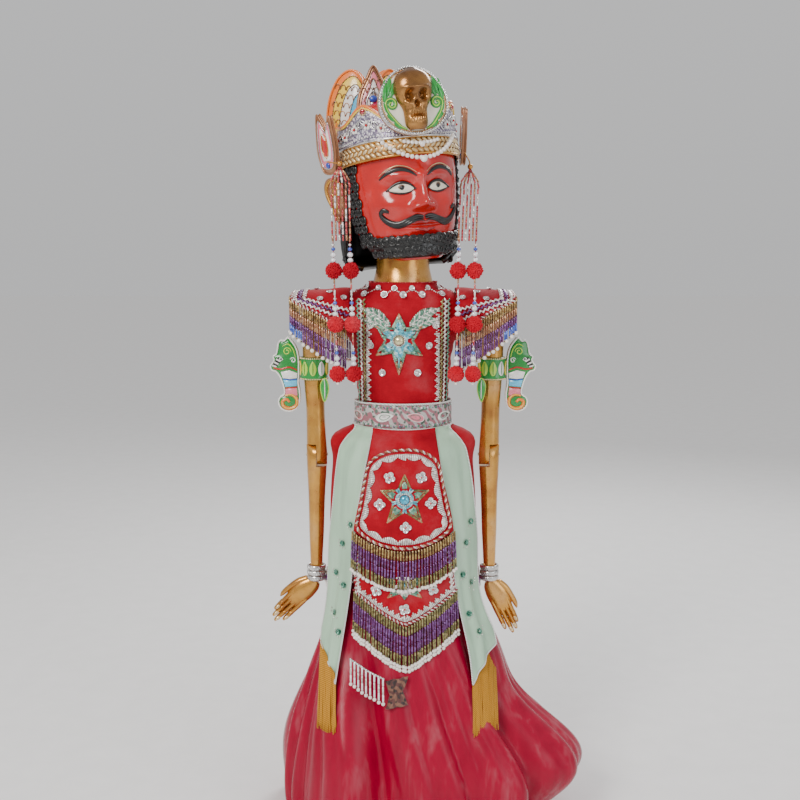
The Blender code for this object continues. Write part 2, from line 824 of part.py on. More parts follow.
def build_medallion(finish, tilted):
    disc = []
    for a in steps(0, 2 * math.pi, 23)[:-1]:
        disc.append((0.034 * math.sin(a) * (1 - 0.12 * math.cos(a)), 0.0315 * math.cos(a)))
    place = Matrix.Translation((-0.005, -0.0685, 0.7262)) @ Matrix.Rotation(math.radians(-7), 4, "X")
    medallion = add_object("crown_medallion", plate(disc, 0.0055, place), finish["crown_paint"], tilted)
    soften(medallion, 0.0012)

    sections = (
        (-0.0270, 0.0085, 0.0040),
        (-0.0230, 0.0110, 0.0085),
        (-0.0140, 0.0115, 0.0095),
        (-0.0080, 0.0120, 0.0095),
        (0.0020, 0.0175, 0.0120),
        (0.0130, 0.0190, 0.0145),
        (0.0230, 0.0150, 0.0120),
        (0.0285, 0.0070, 0.0060),
    )
    skull = loft([oval(0, 0, z, w, d, 16) for z, w, d in sections])
    bmesh.ops.transform(skull, matrix=place @ Matrix.Translation((0, -0.0030, 0)), verts=skull.verts)
    boss = add_object("crown_skull_boss", skull, finish["gold_paint"], tilted)
    behind = box((-0.05, -0.00275 - GAP, -0.05), (0.05, 0.06, 0.05), place)
    cut(boss, add_cutter("medallion_room", behind, tilted))


def build_wings(finish, tilted):
    for side in (RIGHT, LEFT):
        place = Matrix.Translation((side * 0.0690, -0.002, 0.6690))
        place = place @ Matrix.Rotation(side * math.radians(72), 4, "Z")
        place = place @ Matrix.Rotation(math.radians(6), 4, "X")
        outline = [(side * x, z) for x, z in WING_OUTLINE]
        name = f"{SIDE_NAME[side]}_crown_wing"
        wing = add_object(name, plate(outline, 0.0040, place), finish["crown_paint"], tilted)
        soften(wing, 0.0009)


def build_forehead_pearls(finish, tilted):
    """Two pearl strings that hang from the band across the forehead."""
    for name, reach, top, sag in (("upper_pearls", 15, 0.6905, 0.002), ("lower_pearls", 36, 0.6940, 0.019)):
        points = []
        for share in steps(-1, 1, 11):
            z = top - sag * (1 - share * share)
            points.append(head_surface(math.radians(reach) * share, z, 0.0106))
        curve_tube(name, points, 0.0020, finish["pearl"], tilted)


# Each ear tassel's line as (z, x, y): from beside the ear, over the front of the shoulder.
TASSEL_LINE = {
    RIGHT: (
        (TASSEL_TOP, -0.0600, -0.0470),
        (0.610, -0.0590, -0.0520),
        (0.570, -0.0580, -0.0540),
        (0.460, -0.0550, -0.0540),
    ),
    LEFT: (
        (TASSEL_TOP, 0.0660, -0.0060),
        (0.610, 0.0625, -0.0330),
        (0.570, 0.0605, -0.0520),
        (0.545, 0.0605, -0.0540),
        (0.460, 0.0590, -0.0540),
    ),
}


def tassel_centre(side, z):
    x, y = section_at(TASSEL_LINE[side], z)
    return Vector((x, y, z))


def build_tassels(finish):
    """Two bead strands a side with three pairs of pompons, joined where the pompons touch."""
    for side in (RIGHT, LEFT):
        pompons = bmesh.new()
        strands = bmesh.new()
        for strand in (-1, 1):
            shift = Vector((strand * STRAND_SPREAD, 0, 0))
            for level in POMPON_HEIGHTS:
                ball(pompons, tassel_centre(side, level) + shift, POMPON_RADIUS, 10, 6)
            rings = []
            for z in (POMPON_HEIGHTS[-1], 0.545, 0.570, 0.610, TASSEL_TOP):
                p = tassel_centre(side, z) + shift
                rings.append(oval(p.x, p.y, z, 0.0018, 0.0018, 6))
            verts = skin(strands, rings)
            strands.faces.new(reversed(verts[0]))
            strands.faces.new(verts[-1])
        name = f"{SIDE_NAME[side]}_ear_tassel"
        made = add_object(name, strands, finish["pompon"])
        cut(made, add_cutter(f"{name}_pompons", pompons), "UNION", use_self=True)


# ---------------------------------------------------------------- arms
def arm_centre(z):
    """How far the arm's centreline is from the puppet's middle."""
    if z >= ELBOW_Z:
        return ELBOW_X + (ARM_X - ELBOW_X) * (z - ELBOW_Z) / (SHOULDER_Z - ELBOW_Z)
    return ELBOW_X + (WRIST_X - ELBOW_X) * (ELBOW_Z - z) / (ELBOW_Z - WRIST_Z)


def round_end(sign):
    """Sections of the elbow's round end, below the axis for -1 and above it for 1."""
    rows = []
    for degrees in (25, 50, 68, 80):
        rise = ELBOW_RADIUS * math.sin(math.radians(degrees))
        rows.append((ELBOW_Z + sign * rise, 0.0105, ELBOW_RADIUS * math.cos(math.radians(degrees))))
    return rows


def lap_cutter(name, side, outer_half, low, high):
    """A box that takes away the outer or the inner half of an arm between two heights."""
    near, far = (-0.0002, 0.020) if outer_half else (-0.020, 0.0002)
    ends = sorted((side * (ELBOW_X + near), side * (ELBOW_X + far)))
    return add_cutter(name, box((ends[0], -0.02, low), (ends[1], 0.02, high)))


def build_arm(finish, side):
    name = SIDE_NAME[side]
    gold = finish["gold_paint"]
    step = ELBOW_RADIUS + 0.0012

    rings = [oval(side * arm_centre(z), 0, z, w, d, 14) for z, w, d in UPPER_ARM]
    rings += [oval(side * ELBOW_X, 0, z, w, d, 14) for z, w, d in round_end(-1)]
    upper = add_object(f"{name}_upper_arm", loft(rings), gold)
    cut(upper, lap_cutter(f"{name}_upper_lap", side, True, ELBOW_Z - 0.03, ELBOW_Z + step))

    rings = [oval(side * ELBOW_X, 0, z, w, d, 14) for z, w, d in reversed(round_end(1))]
    rings += [oval(side * arm_centre(z), 0, z, w, d, 14) for z, w, d in FOREARM]
    forearm = add_object(f"{name}_forearm", loft(rings), gold)
    cut(forearm, lap_cutter(f"{name}_fore_lap", side, False, ELBOW_Z - step, ELBOW_Z + 0.03))

    hole = cylinder(CORD_HOLE, (side * 0.060, 0, ELBOW_Z), (side * 0.110, 0, ELBOW_Z), 8)
    elbow_hole = add_cutter(f"{name}_elbow_hole", hole)
    cut(upper, elbow_hole)
    cut(forearm, elbow_hole)
    hole = cylinder(CORD_HOLE, (side * 0.070, 0, SHOULDER_Z), (side * 0.120, 0, SHOULDER_Z), 8)
    cut(upper, add_cutter(f"{name}_shoulder_hole", hole))

    ends = [(side * (ELBOW_X + out), 0, ELBOW_Z) for out in (-0.0112, 0.0112)]
    add_object(f"{name}_elbow_cord", cylinder(CORD_RADIUS, *ends, 8), finish["cord"])

    ends = [(side * SHOULDER_X, 0, SHOULDER_Z), (side * (ARM_X + 0.0132), 0, SHOULDER_Z)]
    knots = bmesh.new()
    ball(knots, ends[0], 0.0032, 8, 6)
    ball(knots, ends[1], 0.0030, 8, 6)
    cord = add_object(f"{name}_shoulder_cord", cylinder(CORD_RADIUS, *ends, 8), finish["cord"])
    cut(cord, add_cutter(f"{name}_knots", knots), "UNION")


def build_hand(finish, side):
    """A flat carved hand with its fingers together, bent outwards from the wrist."""
    name = f"{SIDE_NAME[side]}_hand"
    wrist = Matrix.Translation((side * WRIST_X, 0, WRIST_Z - GAP))
    place = wrist @ Matrix.Rotation(-side * HAND_LEAN[side], 4, "Y") @ Matrix.Translation((0, 0, 0.0050))
    outline = [(side * x, z) for x, z in HAND_OUTLINE]
    hand = add_object(name, plate(outline, HAND_THICK, place), finish["gold_paint"])
    soften(hand, 0.0020)
    cut(hand, add_cutter(f"{name}_wrist_room", box((-0.03, -0.03, 0), (0.03, 0.03, 0.03), wrist)))


def build_bangles(finish, side):
    """Three rings stacked on the wrist."""
    inner, rise, low = 0.0074, 0.0056, WRIST_Z + 0.0004
    profile = [(inner, low)]
    for k in range(3):
        z = low + k * rise
        profile += [(0.0086, z), (0.0098, z + 0.25 * rise), (0.0098, z + 0.75 * rise)]
    profile += [(0.0086, low + 3 * rise), (inner, low + 3 * rise), (inner, low)]
    place = Matrix.Translation((side * (WRIST_X - 0.0002), 0, 0))
    add_object(f"{SIDE_NAME[side]}_bangles", turned(profile, 16, place), finish["silver"])


def build_armlet(finish, side):
    """The cuff, and the carved dragon-bird plate that stands out from it."""
    name = f"{SIDE_NAME[side]}_armlet"
    low, high = 0.4600, 0.4820
    middle = Matrix.Translation((side * arm_centre((low + high) / 2), 0, 0))
    inner, outer = 0.0122, 0.0142
    profile = [
        (inner, low),
        (outer - 0.001, low),
        (outer, (low + high) / 2),
        (outer - 0.001, high),
        (inner, high),
        (inner, low),
    ]
    add_object(f"{name}_cuff", turned(profile, 18, middle), finish["green_paint"])
    outline = [(side * x, z) for x, z in ARMLET_OUTLINE]
    made = add_object(f"{name}_plate", plate(outline, 0.0080), finish["green_paint"])
    soften(made, 0.0016)
    room = turned([(0.0, 0.40), (0.0147, 0.40), (0.0147, 0.52), (0.0, 0.52)], 18, middle)
    cut(made, add_cutter(f"{name}_room", room))


def cap_point(side, across, out, lift=0.0):
    """A point on the sleeve cap: across runs front to back, and out from the neck to the arm."""
    ridge = 0.5505 - 0.0050 * out * out + lift
    edge = 0.5100 + 0.0300 * out + lift
    turn = abs(across) * math.pi / 2
    z = edge + (ridge - edge) * math.cos(turn) ** 0.8
    y = math.copysign((0.0400 - 0.0045 * out + lift) * math.sin(turn), across)
    return Vector((side * (0.0525 + 0.0570 * out), y, z))


def build_sleeve(finish, side):
    """The stiff velvet cap over the shoulder, and the bead fringe round its edge."""
    name = f"{SIDE_NAME[side]}_sleeve"
    rows = []
    for out in steps(0, 1, 5):
        rows.append([cap_point(side, across, out) for across in steps(-1, 1, 9)])
    cloth(f"{name}_cap", rows, finish["velvet"], (0, 0, 1))

    path = [(cap_point(side, -1, out, 0.0022), out) for out in steps(0.06, 1, 5)]
    for across in (-0.7, -0.3, 0.3, 0.7):
        path.append((cap_point(side, across, 1.0, 0.0022) + Vector((side * 0.0035, 0, 0)), 1.0))
    path += [(cap_point(side, 1, out, 0.0022), out) for out in reversed(steps(0.06, 1, 5))]
    rows = []
    for share in (0.0, 0.5, 1.0):
        row = []
        for point, out in path:
            top = min(point.z, 0.5390) - 0.0040
            low = 0.4700 + 0.0350 * out**1.4
            row.append(Vector((point.x, point.y, top + (low - top) * share)))
        rows.append(row)
    cloth(f"{name}_fringe", rows, finish["beads"], (side, 0, 0), 0.0016)


def main():
    clear_scene()
    finish = make_materials()
    head = empty("head_frame", Matrix.Rotation(HEAD_TURN, 4, "Z"))
    lean = Matrix.Translation((0, 0, TILT_Z)) @ Matrix.Rotation(HEAD_TILT, 4, "Y")
    tilted = empty("tilted_frame", head.matrix_world @ lean @ Matrix.Translation((0, 0, -TILT_Z)))
    build_stand(finish)
    build_rod(finish, head)
    build_torso(finish)
    build_bodice(finish)
    build_collar(finish)
    build_belt(finish)
    build_skirt(finish)
    build_side_and_back_panels(finish)
    build_sashes(finish)
    build_aprons(finish)
    build_bead_row_and_tab(finish)
    build_neck(finish, head)
    build_head(finish, head, tilted)
    build_beard(finish, tilted)
    build_hair(finish, tilted)
    build_ears(finish, tilted)
    diadem_room = build_band_and_diadem(finish, tilted)
    build_plumes(finish, tilted, diadem_room)
    build_medallion(finish, tilted)
    build_wings(finish, tilted)
    build_forehead_pearls(finish, tilted)
    build_tassels(finish)
    for side in (RIGHT, LEFT):
        build_arm(finish, side)
        build_hand(finish, side)
        build_bangles(finish, side)
        build_armlet(finish, side)
        build_sleeve(finish, side)


main()
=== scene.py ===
"""The looks of a wayang golek rod puppet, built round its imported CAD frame.

Metres, +Z up, the puppet faces -Y and its left is +X. Every size is in the frame's own units.
The costume's panels are modelled as the hung and gathered sheets they are, and every bead, pearl
and sequin is a shape of its own, threaded along a row that is drawn on the cloth.
"""

import json
import math
import random

import bpy
import numpy as np
from mathutils import Matrix, Vector, noise
from mathutils.bvhtree import BVHTree
from mathutils.geometry import tessellate_polygon

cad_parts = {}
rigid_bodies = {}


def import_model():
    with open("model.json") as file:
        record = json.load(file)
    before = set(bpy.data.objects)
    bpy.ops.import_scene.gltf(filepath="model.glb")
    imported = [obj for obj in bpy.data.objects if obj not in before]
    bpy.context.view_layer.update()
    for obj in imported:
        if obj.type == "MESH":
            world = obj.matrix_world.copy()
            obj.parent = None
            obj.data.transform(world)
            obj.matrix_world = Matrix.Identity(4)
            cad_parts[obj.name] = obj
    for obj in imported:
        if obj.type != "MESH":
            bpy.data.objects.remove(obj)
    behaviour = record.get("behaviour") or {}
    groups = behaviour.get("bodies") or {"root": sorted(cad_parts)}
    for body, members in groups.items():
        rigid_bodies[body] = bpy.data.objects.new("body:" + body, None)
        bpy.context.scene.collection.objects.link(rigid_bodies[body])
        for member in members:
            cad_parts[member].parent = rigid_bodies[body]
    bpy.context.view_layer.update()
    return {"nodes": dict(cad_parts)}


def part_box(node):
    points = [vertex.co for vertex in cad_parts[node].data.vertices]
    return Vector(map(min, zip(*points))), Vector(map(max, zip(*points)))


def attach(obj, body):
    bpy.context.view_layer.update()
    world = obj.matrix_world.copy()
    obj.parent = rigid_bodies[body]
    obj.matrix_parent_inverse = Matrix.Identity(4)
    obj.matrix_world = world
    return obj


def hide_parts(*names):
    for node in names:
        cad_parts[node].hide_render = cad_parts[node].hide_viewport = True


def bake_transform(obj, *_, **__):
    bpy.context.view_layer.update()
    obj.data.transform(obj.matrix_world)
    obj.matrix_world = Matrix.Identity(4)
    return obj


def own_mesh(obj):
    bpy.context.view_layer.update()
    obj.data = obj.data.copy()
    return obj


for leftover in list(bpy.data.objects):
    bpy.data.objects.remove(leftover)
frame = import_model()
nodes = frame["nodes"]

RIGHT, LEFT = -1, 1
SIDE_NAME = {RIGHT: "right", LEFT: "left"}
UP = Vector((0, 0, 1))
FRONT = Vector((0, -1, 0))

PEARL = 0.0020  # radius of a pearl
SEED = 0.0010  # radius of a seed bead
BUGLE = (0.0060, 0.00095)  # length and radius of a bugle bead
SEQUIN = 0.0030


# ---------------------------------------------------------------- small sums
def steps(first, last, count):
    return [first + (last - first) * k / (count - 1) for k in range(count)]


def blend_of(a, b, share):
    return a + (b - a) * share


def smooth(x):
    x = max(0.0, min(1.0, x))
    return x * x * (3 - 2 * x)


def hump(x, centre, width):
    """A smooth hump of height 1 at the centre."""
    return math.exp(-(((x - centre) / width) ** 2))


def turns(count):
    """Angles at equal steps once round."""
    return steps(0, 2 * math.pi, count + 1)[:-1]


def oval(w, d, angle, z, y=0.0):
    """A point on a level oval ring. Angle 0 is at the front and 90 degrees on the left."""
    return Vector((w * math.sin(angle), y - d * math.cos(angle), z))


def curve_at(stations, z):
    """The values at height z on a smooth curve through the (height, value, ...) stations."""
    rows = sorted(stations)
    z = max(rows[0][0], min(rows[-1][0], z))
    at = next((k for k in range(len(rows) - 2) if z <= rows[k + 1][0]), len(rows) - 2)
    low, high = rows[at], rows[at + 1]
    before, after = rows[max(at - 1, 0)], rows[min(at + 2, len(rows) - 1)]
    step = high[0] - low[0]
    t = (z - low[0]) / step
    values = []
    for k in range(1, len(low)):
        tangent_low = (high[k] - before[k]) / (high[0] - before[0]) * step
        tangent_high = (after[k] - low[k]) / (after[0] - low[0]) * step
        value = (2 * t**3 - 3 * t**2 + 1) * low[k] + (t**3 - 2 * t**2 + t) * tangent_low
        values.append(value + (3 * t**2 - 2 * t**3) * high[k] + (t**3 - t**2) * tangent_high)
    return values[0] if len(values) == 1 else values


def spline(a, b, c, d, t):
    """The value a share t of the way from b to c on a Catmull-Rom curve."""
    return 0.5 * (2 * b + (c - a) * t + (2 * a - 5 * b + 4 * c - d) * t**2 + (3 * b - a - 3 * c + d) * t**3)


def smooth_path(points, count=6, closed=False):
    """A Catmull-Rom curve through the points, with count steps between each two."""
    points = [Vector(p) for p in points]
    size = len(points)
    spans = size if closed else size - 1
    made = []
    for k in range(spans):
        if closed:
            a, b, c, d = (points[(k + j - 1) % size] for j in range(4))
        else:
            a, b = points[max(k - 1, 0)], points[k]
            c, d = points[k + 1], points[min(k + 2, size - 1)]
        made.extend(spline(a, b, c, d, step / count) for step in range(count))
    if not closed:
        made.append(points[-1])
    return made


def smooth_sections(sections, count):
    """A smooth curve through rows of any number of values."""
    made = []
    last = len(sections) - 1
    for k in range(last):
        rows = [sections[j] for j in (max(k - 1, 0), k, k + 1, min(k + 2, last))]
        made.extend(tuple(spline(*four, step / count) for four in zip(*rows)) for step in range(count))
    return made + [tuple(sections[-1])]


def outline_through(points, count, side=1):
    """A closed, smoothed (u, v) outline. side -1 mirrors it."""
    return [(side * p.x, p.y) for p in smooth_path([(u, v, 0) for u, v in points], count, True)]


def evenly(points, spacing=None, count=None, closed=False):
    """Points at equal distances along a polyline: their places, as (point, tangent)."""
    points = [Vector(p) for p in points]
    if closed:
        points = points + points[:1]
    runs = [(b - a).length for a, b in zip(points, points[1:])]
    total = sum(runs)
    if count is None:
        count = max(2, round(total / spacing) + (0 if closed else 1))
    gaps = count if closed else count - 1
    made, at, passed = [], 0, 0.0
    for k in range(count):
        goal = min(total * k / gaps, total - 1e-9)
        while at < len(runs) - 1 and passed + runs[at] < goal:
            passed += runs[at]
            at += 1
        share = (goal - passed) / runs[at] if runs[at] else 0
        made.append((points[at].lerp(points[at + 1], share), (points[at + 1] - points[at]).normalized()))
    return made


# ---------------------------------------------------------------- shapes, as (points, faces)
def turned(profile, sides=12, closed=False):
    """A (radius, height) profile spun about Z. A radius of 0 ends in one point."""
    points, faces, rings = [], [], []
    for radius, height in profile:
        if radius < 1e-9:
            rings.append([len(points)])
            points.append((0, 0, height))
            continue
        ring = []
        for k in range(sides):
            angle = 2 * math.pi * k / sides
            ring.append(len(points))
            points.append((radius * math.cos(angle), radius * math.sin(angle), height))
        rings.append(ring)
    pairs = list(zip(rings, rings[1:])) + ([(rings[-1], rings[0])] if closed else [])
    for low, high in pairs:
        for k in range(sides):
            after = (k + 1) % sides
            if len(low) == 1:
                faces.append((low[0], high[after], high[k]))
            elif len(high) == 1:
                faces.append((low[k], low[after], high[0]))
            else:
                faces.append((low[k], low[after], high[after], high[k]))
    return np.array(points, float), faces


def ball(rings=6, sides=9):
    return turned([(math.sin(math.pi * k / rings), -math.cos(math.pi * k / rings)) for k in range(rings + 1)], sides)


def skin(rows, closed=False, capped=False):
    """A surface through rows of points. closed joins each row's ends, capped fills the first and last."""
    width = len(rows[0])
    points = [tuple(p) for row in rows for p in row]
    faces = []
    for r in range(len(rows) - 1):
        for k in range(width if closed else width - 1):
            after = (k + 1) % width
            a, b = r * width, (r + 1) * width
            faces.append((a + k, a + after, b + after, b + k))
    if capped:
        faces.append(tuple(range(width - 1, -1, -1)))
        faces.append(tuple((len(rows) - 1) * width + k for k in range(width)))
    return np.array(points, float), faces


def tube(path, radius, sides=6, closed=False, flat=1.0, normal=None):
    """A round tube along a path. radius is a number or a function of the share along it."""
    path = [Vector(p) for p in path]
    count = len(path)
    rows = []
    side = None
    for k, p in enumerate(path):
        if closed:
            tangent = (path[(k + 1) % count] - path[k - 1]).normalized()
        else:
            tangent = (path[min(k + 1, count - 1)] - path[max(k - 1, 0)]).normalized()
        if normal is not None:
            up = normal(p) if callable(normal) else Vector(normal)
            side = tangent.cross(up).normalized()
        elif side is None:
            side = tangent.orthogonal().normalized()
        else:
            side = (side - tangent * side.dot(tangent)).normalized()
        other = side.cross(tangent).normalized()
        r = radius(k / max(count - 1, 1)) if callable(radius) else radius
        row = []
        for j in range(sides):
            angle = 2 * math.pi * j / sides
            row.append(p + side * (r * math.cos(angle)) + other * (r * flat * math.sin(angle)))
        rows.append(row)
    if closed:
        points, faces = skin(rows + [rows[0]], closed=True)
        width = sides * count
        faces = [tuple(v % width for v in face) for face in faces]
        return points[:width], faces
    return skin(rows, closed=True, capped=True)


def thick(rows, thickness, closed=False):
    """A closed shell of cloth: rows of points, and the same rows moved back along their normals."""
    grid = [[Vector(p) for p in row] for row in rows]
    height, width = len(grid), len(grid[0])
    back = []
    for r in range(height):
        row = []
        for k in range(width):
            if closed:
                along = grid[r][(k + 1) % width] - grid[r][k - 1]
            else:
                along = grid[r][min(k + 1, width - 1)] - grid[r][max(k - 1, 0)]
            down = grid[min(r + 1, height - 1)][k] - grid[max(r - 1, 0)][k]
            normal = along.cross(down)
            normal = normal.normalized() if normal.length > 1e-12 else Vector((0, 0, 1))
            row.append(grid[r][k] + normal * thickness)
        back.append(row)
    front, faces = skin(grid, closed)
    rear, more = skin(back, closed)
    size = len(front)
    faces = [tuple(reversed(f)) for f in faces] + [tuple(v + size for v in f) for f in more]
    if closed:
        for r in (0, height - 1):
            for k in range(width):
                a, b = r * width + k, r * width + (k + 1) % width
                quad = (a, b, b + size, a + size)
                faces.append(quad if r == 0 else tuple(reversed(quad)))
        return np.vstack([front, rear]), faces
    edge = [k for k in range(width)]
    edge += [r * width + width - 1 for r in range(1, height)]
    edge += [(height - 1) * width + k for k in range(width - 2, -1, -1)]
    edge += [r * width for r in range(height - 2, 0, -1)]
    for a, b in zip(edge, edge[1:] + edge[:1]):
        faces.append((a, b, b + size, a + size))
    return np.vstack([front, rear]), faces


def slab(outline, thickness, on, rise=0.0, inset=0.22):
    """A thin plate of this outline on a drawing surface, with softened edges and a raised middle."""
    outline = [Vector((*p[:2], 0)) for p in outline]
    area = sum(a.x * b.y - b.x * a.y for a, b in zip(outline, outline[1:] + outline[:1]))
    if area < 0:
        outline.reverse()
    count = len(outline)
    reach = max((a - b).length for a in outline for b in outline[:: max(1, count // 6)])
    margin = min(inset * thickness * 2, reach * 0.12)
    inner = []
    for k, p in enumerate(outline):
        tangent = (outline[(k + 1) % count] - outline[k - 1]).normalized()
        inner.append(p + Vector((-tangent.y, tangent.x, 0)) * margin)
    rows = [
        [on(p.x, p.y, 0.0) for p in outline],
        [on(p.x, p.y, thickness * 0.6) for p in outline],
        [on(p.x, p.y, thickness + rise * 0.3) for p in inner],
    ]
    points, faces = skin(rows, closed=True)
    top = 2 * count
    for triangle in tessellate_polygon([inner]):
        a, b, c = (inner[k] for k in triangle)
        turn = (b - a).cross(c - a).z
        order = triangle if turn > 0 else tuple(reversed(triangle))
        faces.append(tuple(top + k for k in order))
        faces.append(tuple(reversed([k for k in order])))
    return points, faces


SHAPES = {
    "pearl": ball(8, 12),
    "seed": ball(5, 8),
    "bugle": turned([(0, -0.5), (0.62, -0.5), (1, -0.46), (1, 0.46), (0.62, 0.5), (0, 0.5)], 7),
    "grain": turned([(0, -1), (0.55, -0.85), (0.92, -0.4), (1, 0), (0.92, 0.4), (0.55, 0.85), (0, 1)], 8),
    "sequin": turned([(0.26, 0.02), (0.60, 0.02), (0.86, 0.16), (1, 0.34), (0.97, 0.38), (0.82, 0.24),
                      (0.58, 0.11), (0.26, 0.11)], 16, closed=True),
    "gem": turned([(0, 0), (0.95, 0), (1, 0.12), (0.82, 0.34), (0.50, 0.50), (0, 0.52)], 10),
    "stone": turned([(0, 0), (1, 0), (0.97, 0.25), (0.80, 0.55), (0.45, 0.78), (0, 0.86)], 20),
}


class Piece:
    """Collects shapes and links them as one mesh that rides on a CAD body."""

    def __init__(self, name, body, slot=None, replaces=()):
        self.name, self.body, self.slot, self.replaces = name, body, slot, replaces
        self.points, self.faces, self.face_finish, self.finishes, self.flat = [], [], [], [], []
        self.size = 0

    def add(self, shape, finish, matrix=None, flat=False):
        points, faces = shape
        if matrix is not None:
            turn = np.array(matrix.to_3x3())
            points = points @ turn.T + np.array(matrix.translation)
        if finish not in self.finishes:
            self.finishes.append(finish)
        index = self.finishes.index(finish)
        self.points.append(points)
        self.faces.extend([tuple(v + self.size for v in face) for face in faces])
        self.face_finish.extend([index] * len(faces))
        self.flat.extend([flat] * len(faces))
        self.size += len(points)

    def bead(self, kind, finish, at, along=UP, up=None, size=(1, 1, 1)):
        """A bead whose own Z lies along this direction, and whose X faces up where that is given."""
        z = Vector(along).normalized()
        x = z.orthogonal() if up is None else Vector(up) - z * Vector(up).dot(z)
        x = x.normalized() if x.length > 1e-9 else z.orthogonal().normalized()
        y = z.cross(x)
        if not hasattr(size, "__len__"):
            size = (size, size, size)
        matrix = Matrix((x * size[0], y * size[1], z * size[2])).transposed().to_4x4()
        matrix.translation = Vector(at)
        self.add(SHAPES[kind], finish, matrix, flat=kind == "gem")

    def link(self, matrix=None):
        mesh = bpy.data.meshes.new(self.name)
        mesh.from_pydata(np.vstack(self.points).tolist(), [], self.faces)
        for finish in self.finishes:
            mesh.materials.append(FINISH[finish])
        mesh.polygons.foreach_set("material_index", self.face_finish)
        mesh.polygons.foreach_set("use_smooth", [not f for f in self.flat])
        mesh.validate()
        made = bpy.data.objects.new(self.name, mesh)
        bpy.context.scene.collection.objects.link(made)
        if matrix is not None:
            mesh.transform(matrix)
        mesh.update()
        if self.body is not None:
            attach(made, self.body)
        if self.replaces:
            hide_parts(*self.replaces)
        return made


def declare(made, rows, closed=False):
    """Measures how wide and long the cloth made from these rows is along its own surface; the sizes are not used, and
    the cloth is returned as it is.
    """
    ends = [row + row[:1] if closed else row for row in rows]
    width = max(sum((a - b).length for a, b in zip(row, row[1:])) for row in ends)
    columns = list(zip(*rows))
    length = max(sum((a - b).length for a, b in zip(column, column[1:])) for column in columns)
    for low, high in zip(ends, ends[1:]):
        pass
    return made


def sew(node, finish, rows, thickness, closed=False, inside_out=False):
    slot = {"mint": "mint_satin", "batik": "brocade"}.get(finish, finish)
    piece = Piece(f"{node}_cloth", "torso", slot, [node])
    piece.add(thick(rows[::-1] if inside_out else rows, thickness, closed), finish)
    return declare(piece.link(), rows, closed)


def sharpen(made, degrees):
    made.data.set_sharp_from_angle(angle=math.radians(degrees))


# ---------------------------------------------------------------- drawing on surfaces
def flat_face(place, across=1, face=-1, out=0.0):
    """Draws on an upright plate: u runs along its X, v along its Z, and lift away from its -Y or +Y face.

    across is -1 to mirror u, and out is how far the face stands off the plate's middle.
    """
    return lambda u, v, lift=0.0: place @ Vector((across * u, face * (out + lift), v))


class Cover:
    """Finds points on the outside of meshes, for drawing on them."""

    def __init__(self, *objects):
        points, faces = [], []
        for obj in objects:
            start = len(points)
            points.extend(obj.matrix_world @ v.co for v in obj.data.vertices)
            faces.extend(tuple(start + k for k in p.vertices) for p in obj.data.polygons)
        self.tree = BVHTree.FromPolygons(points, faces)

    def hit(self, start, direction):
        place, normal, _, _ = self.tree.ray_cast(Vector(start), Vector(direction))
        if place is None:
            place, normal, _, _ = self.tree.find_nearest(Vector(start))
        if normal.dot(Vector(direction)) > 0:
            normal = -normal
        return place, normal

    def front(self, x, z, lift=0.0):
        """The point that shows at (x, z) from the front, lifted off along the normal."""
        place, normal = self.hit((x, -0.4, z), (0, 1, 0))
        return place + normal * lift

    def front_normal(self, x, z):
        return self.hit((x, -0.4, z), (0, 1, 0))[1]

    def round(self, angle, z, lift=0.0):
        """The point at an angle about the puppet's axis."""
        place, normal = self.hit(oval(0.3, 0.3, angle, z), -oval(1, 1, angle, 0))
        return place + normal * lift

    def round_normal(self, angle, z):
        return self.hit(oval(0.3, 0.3, angle, z), -oval(1, 1, angle, 0))[1]

    def near(self, point, lift=0.0):
        """The surface's nearest point, lifted off, and the normal there."""
        place = self.tree.find_nearest(Vector(point))[0]
        normal = self.near_normal(point)
        return place + normal * lift, normal

    def near_normal(self, point):
        place, normal, _, _ = self.tree.find_nearest(Vector(point))
        away = Vector(point) - place
        if away.length > 1e-6 and normal.dot(away) < 0:
            normal = -normal
        return normal


def on_surface(cover, path, lift=0.0):
    """Front-view (x, z) points as points on the surface."""
    return [cover.front(p[0], p[1], lift) for p in path]


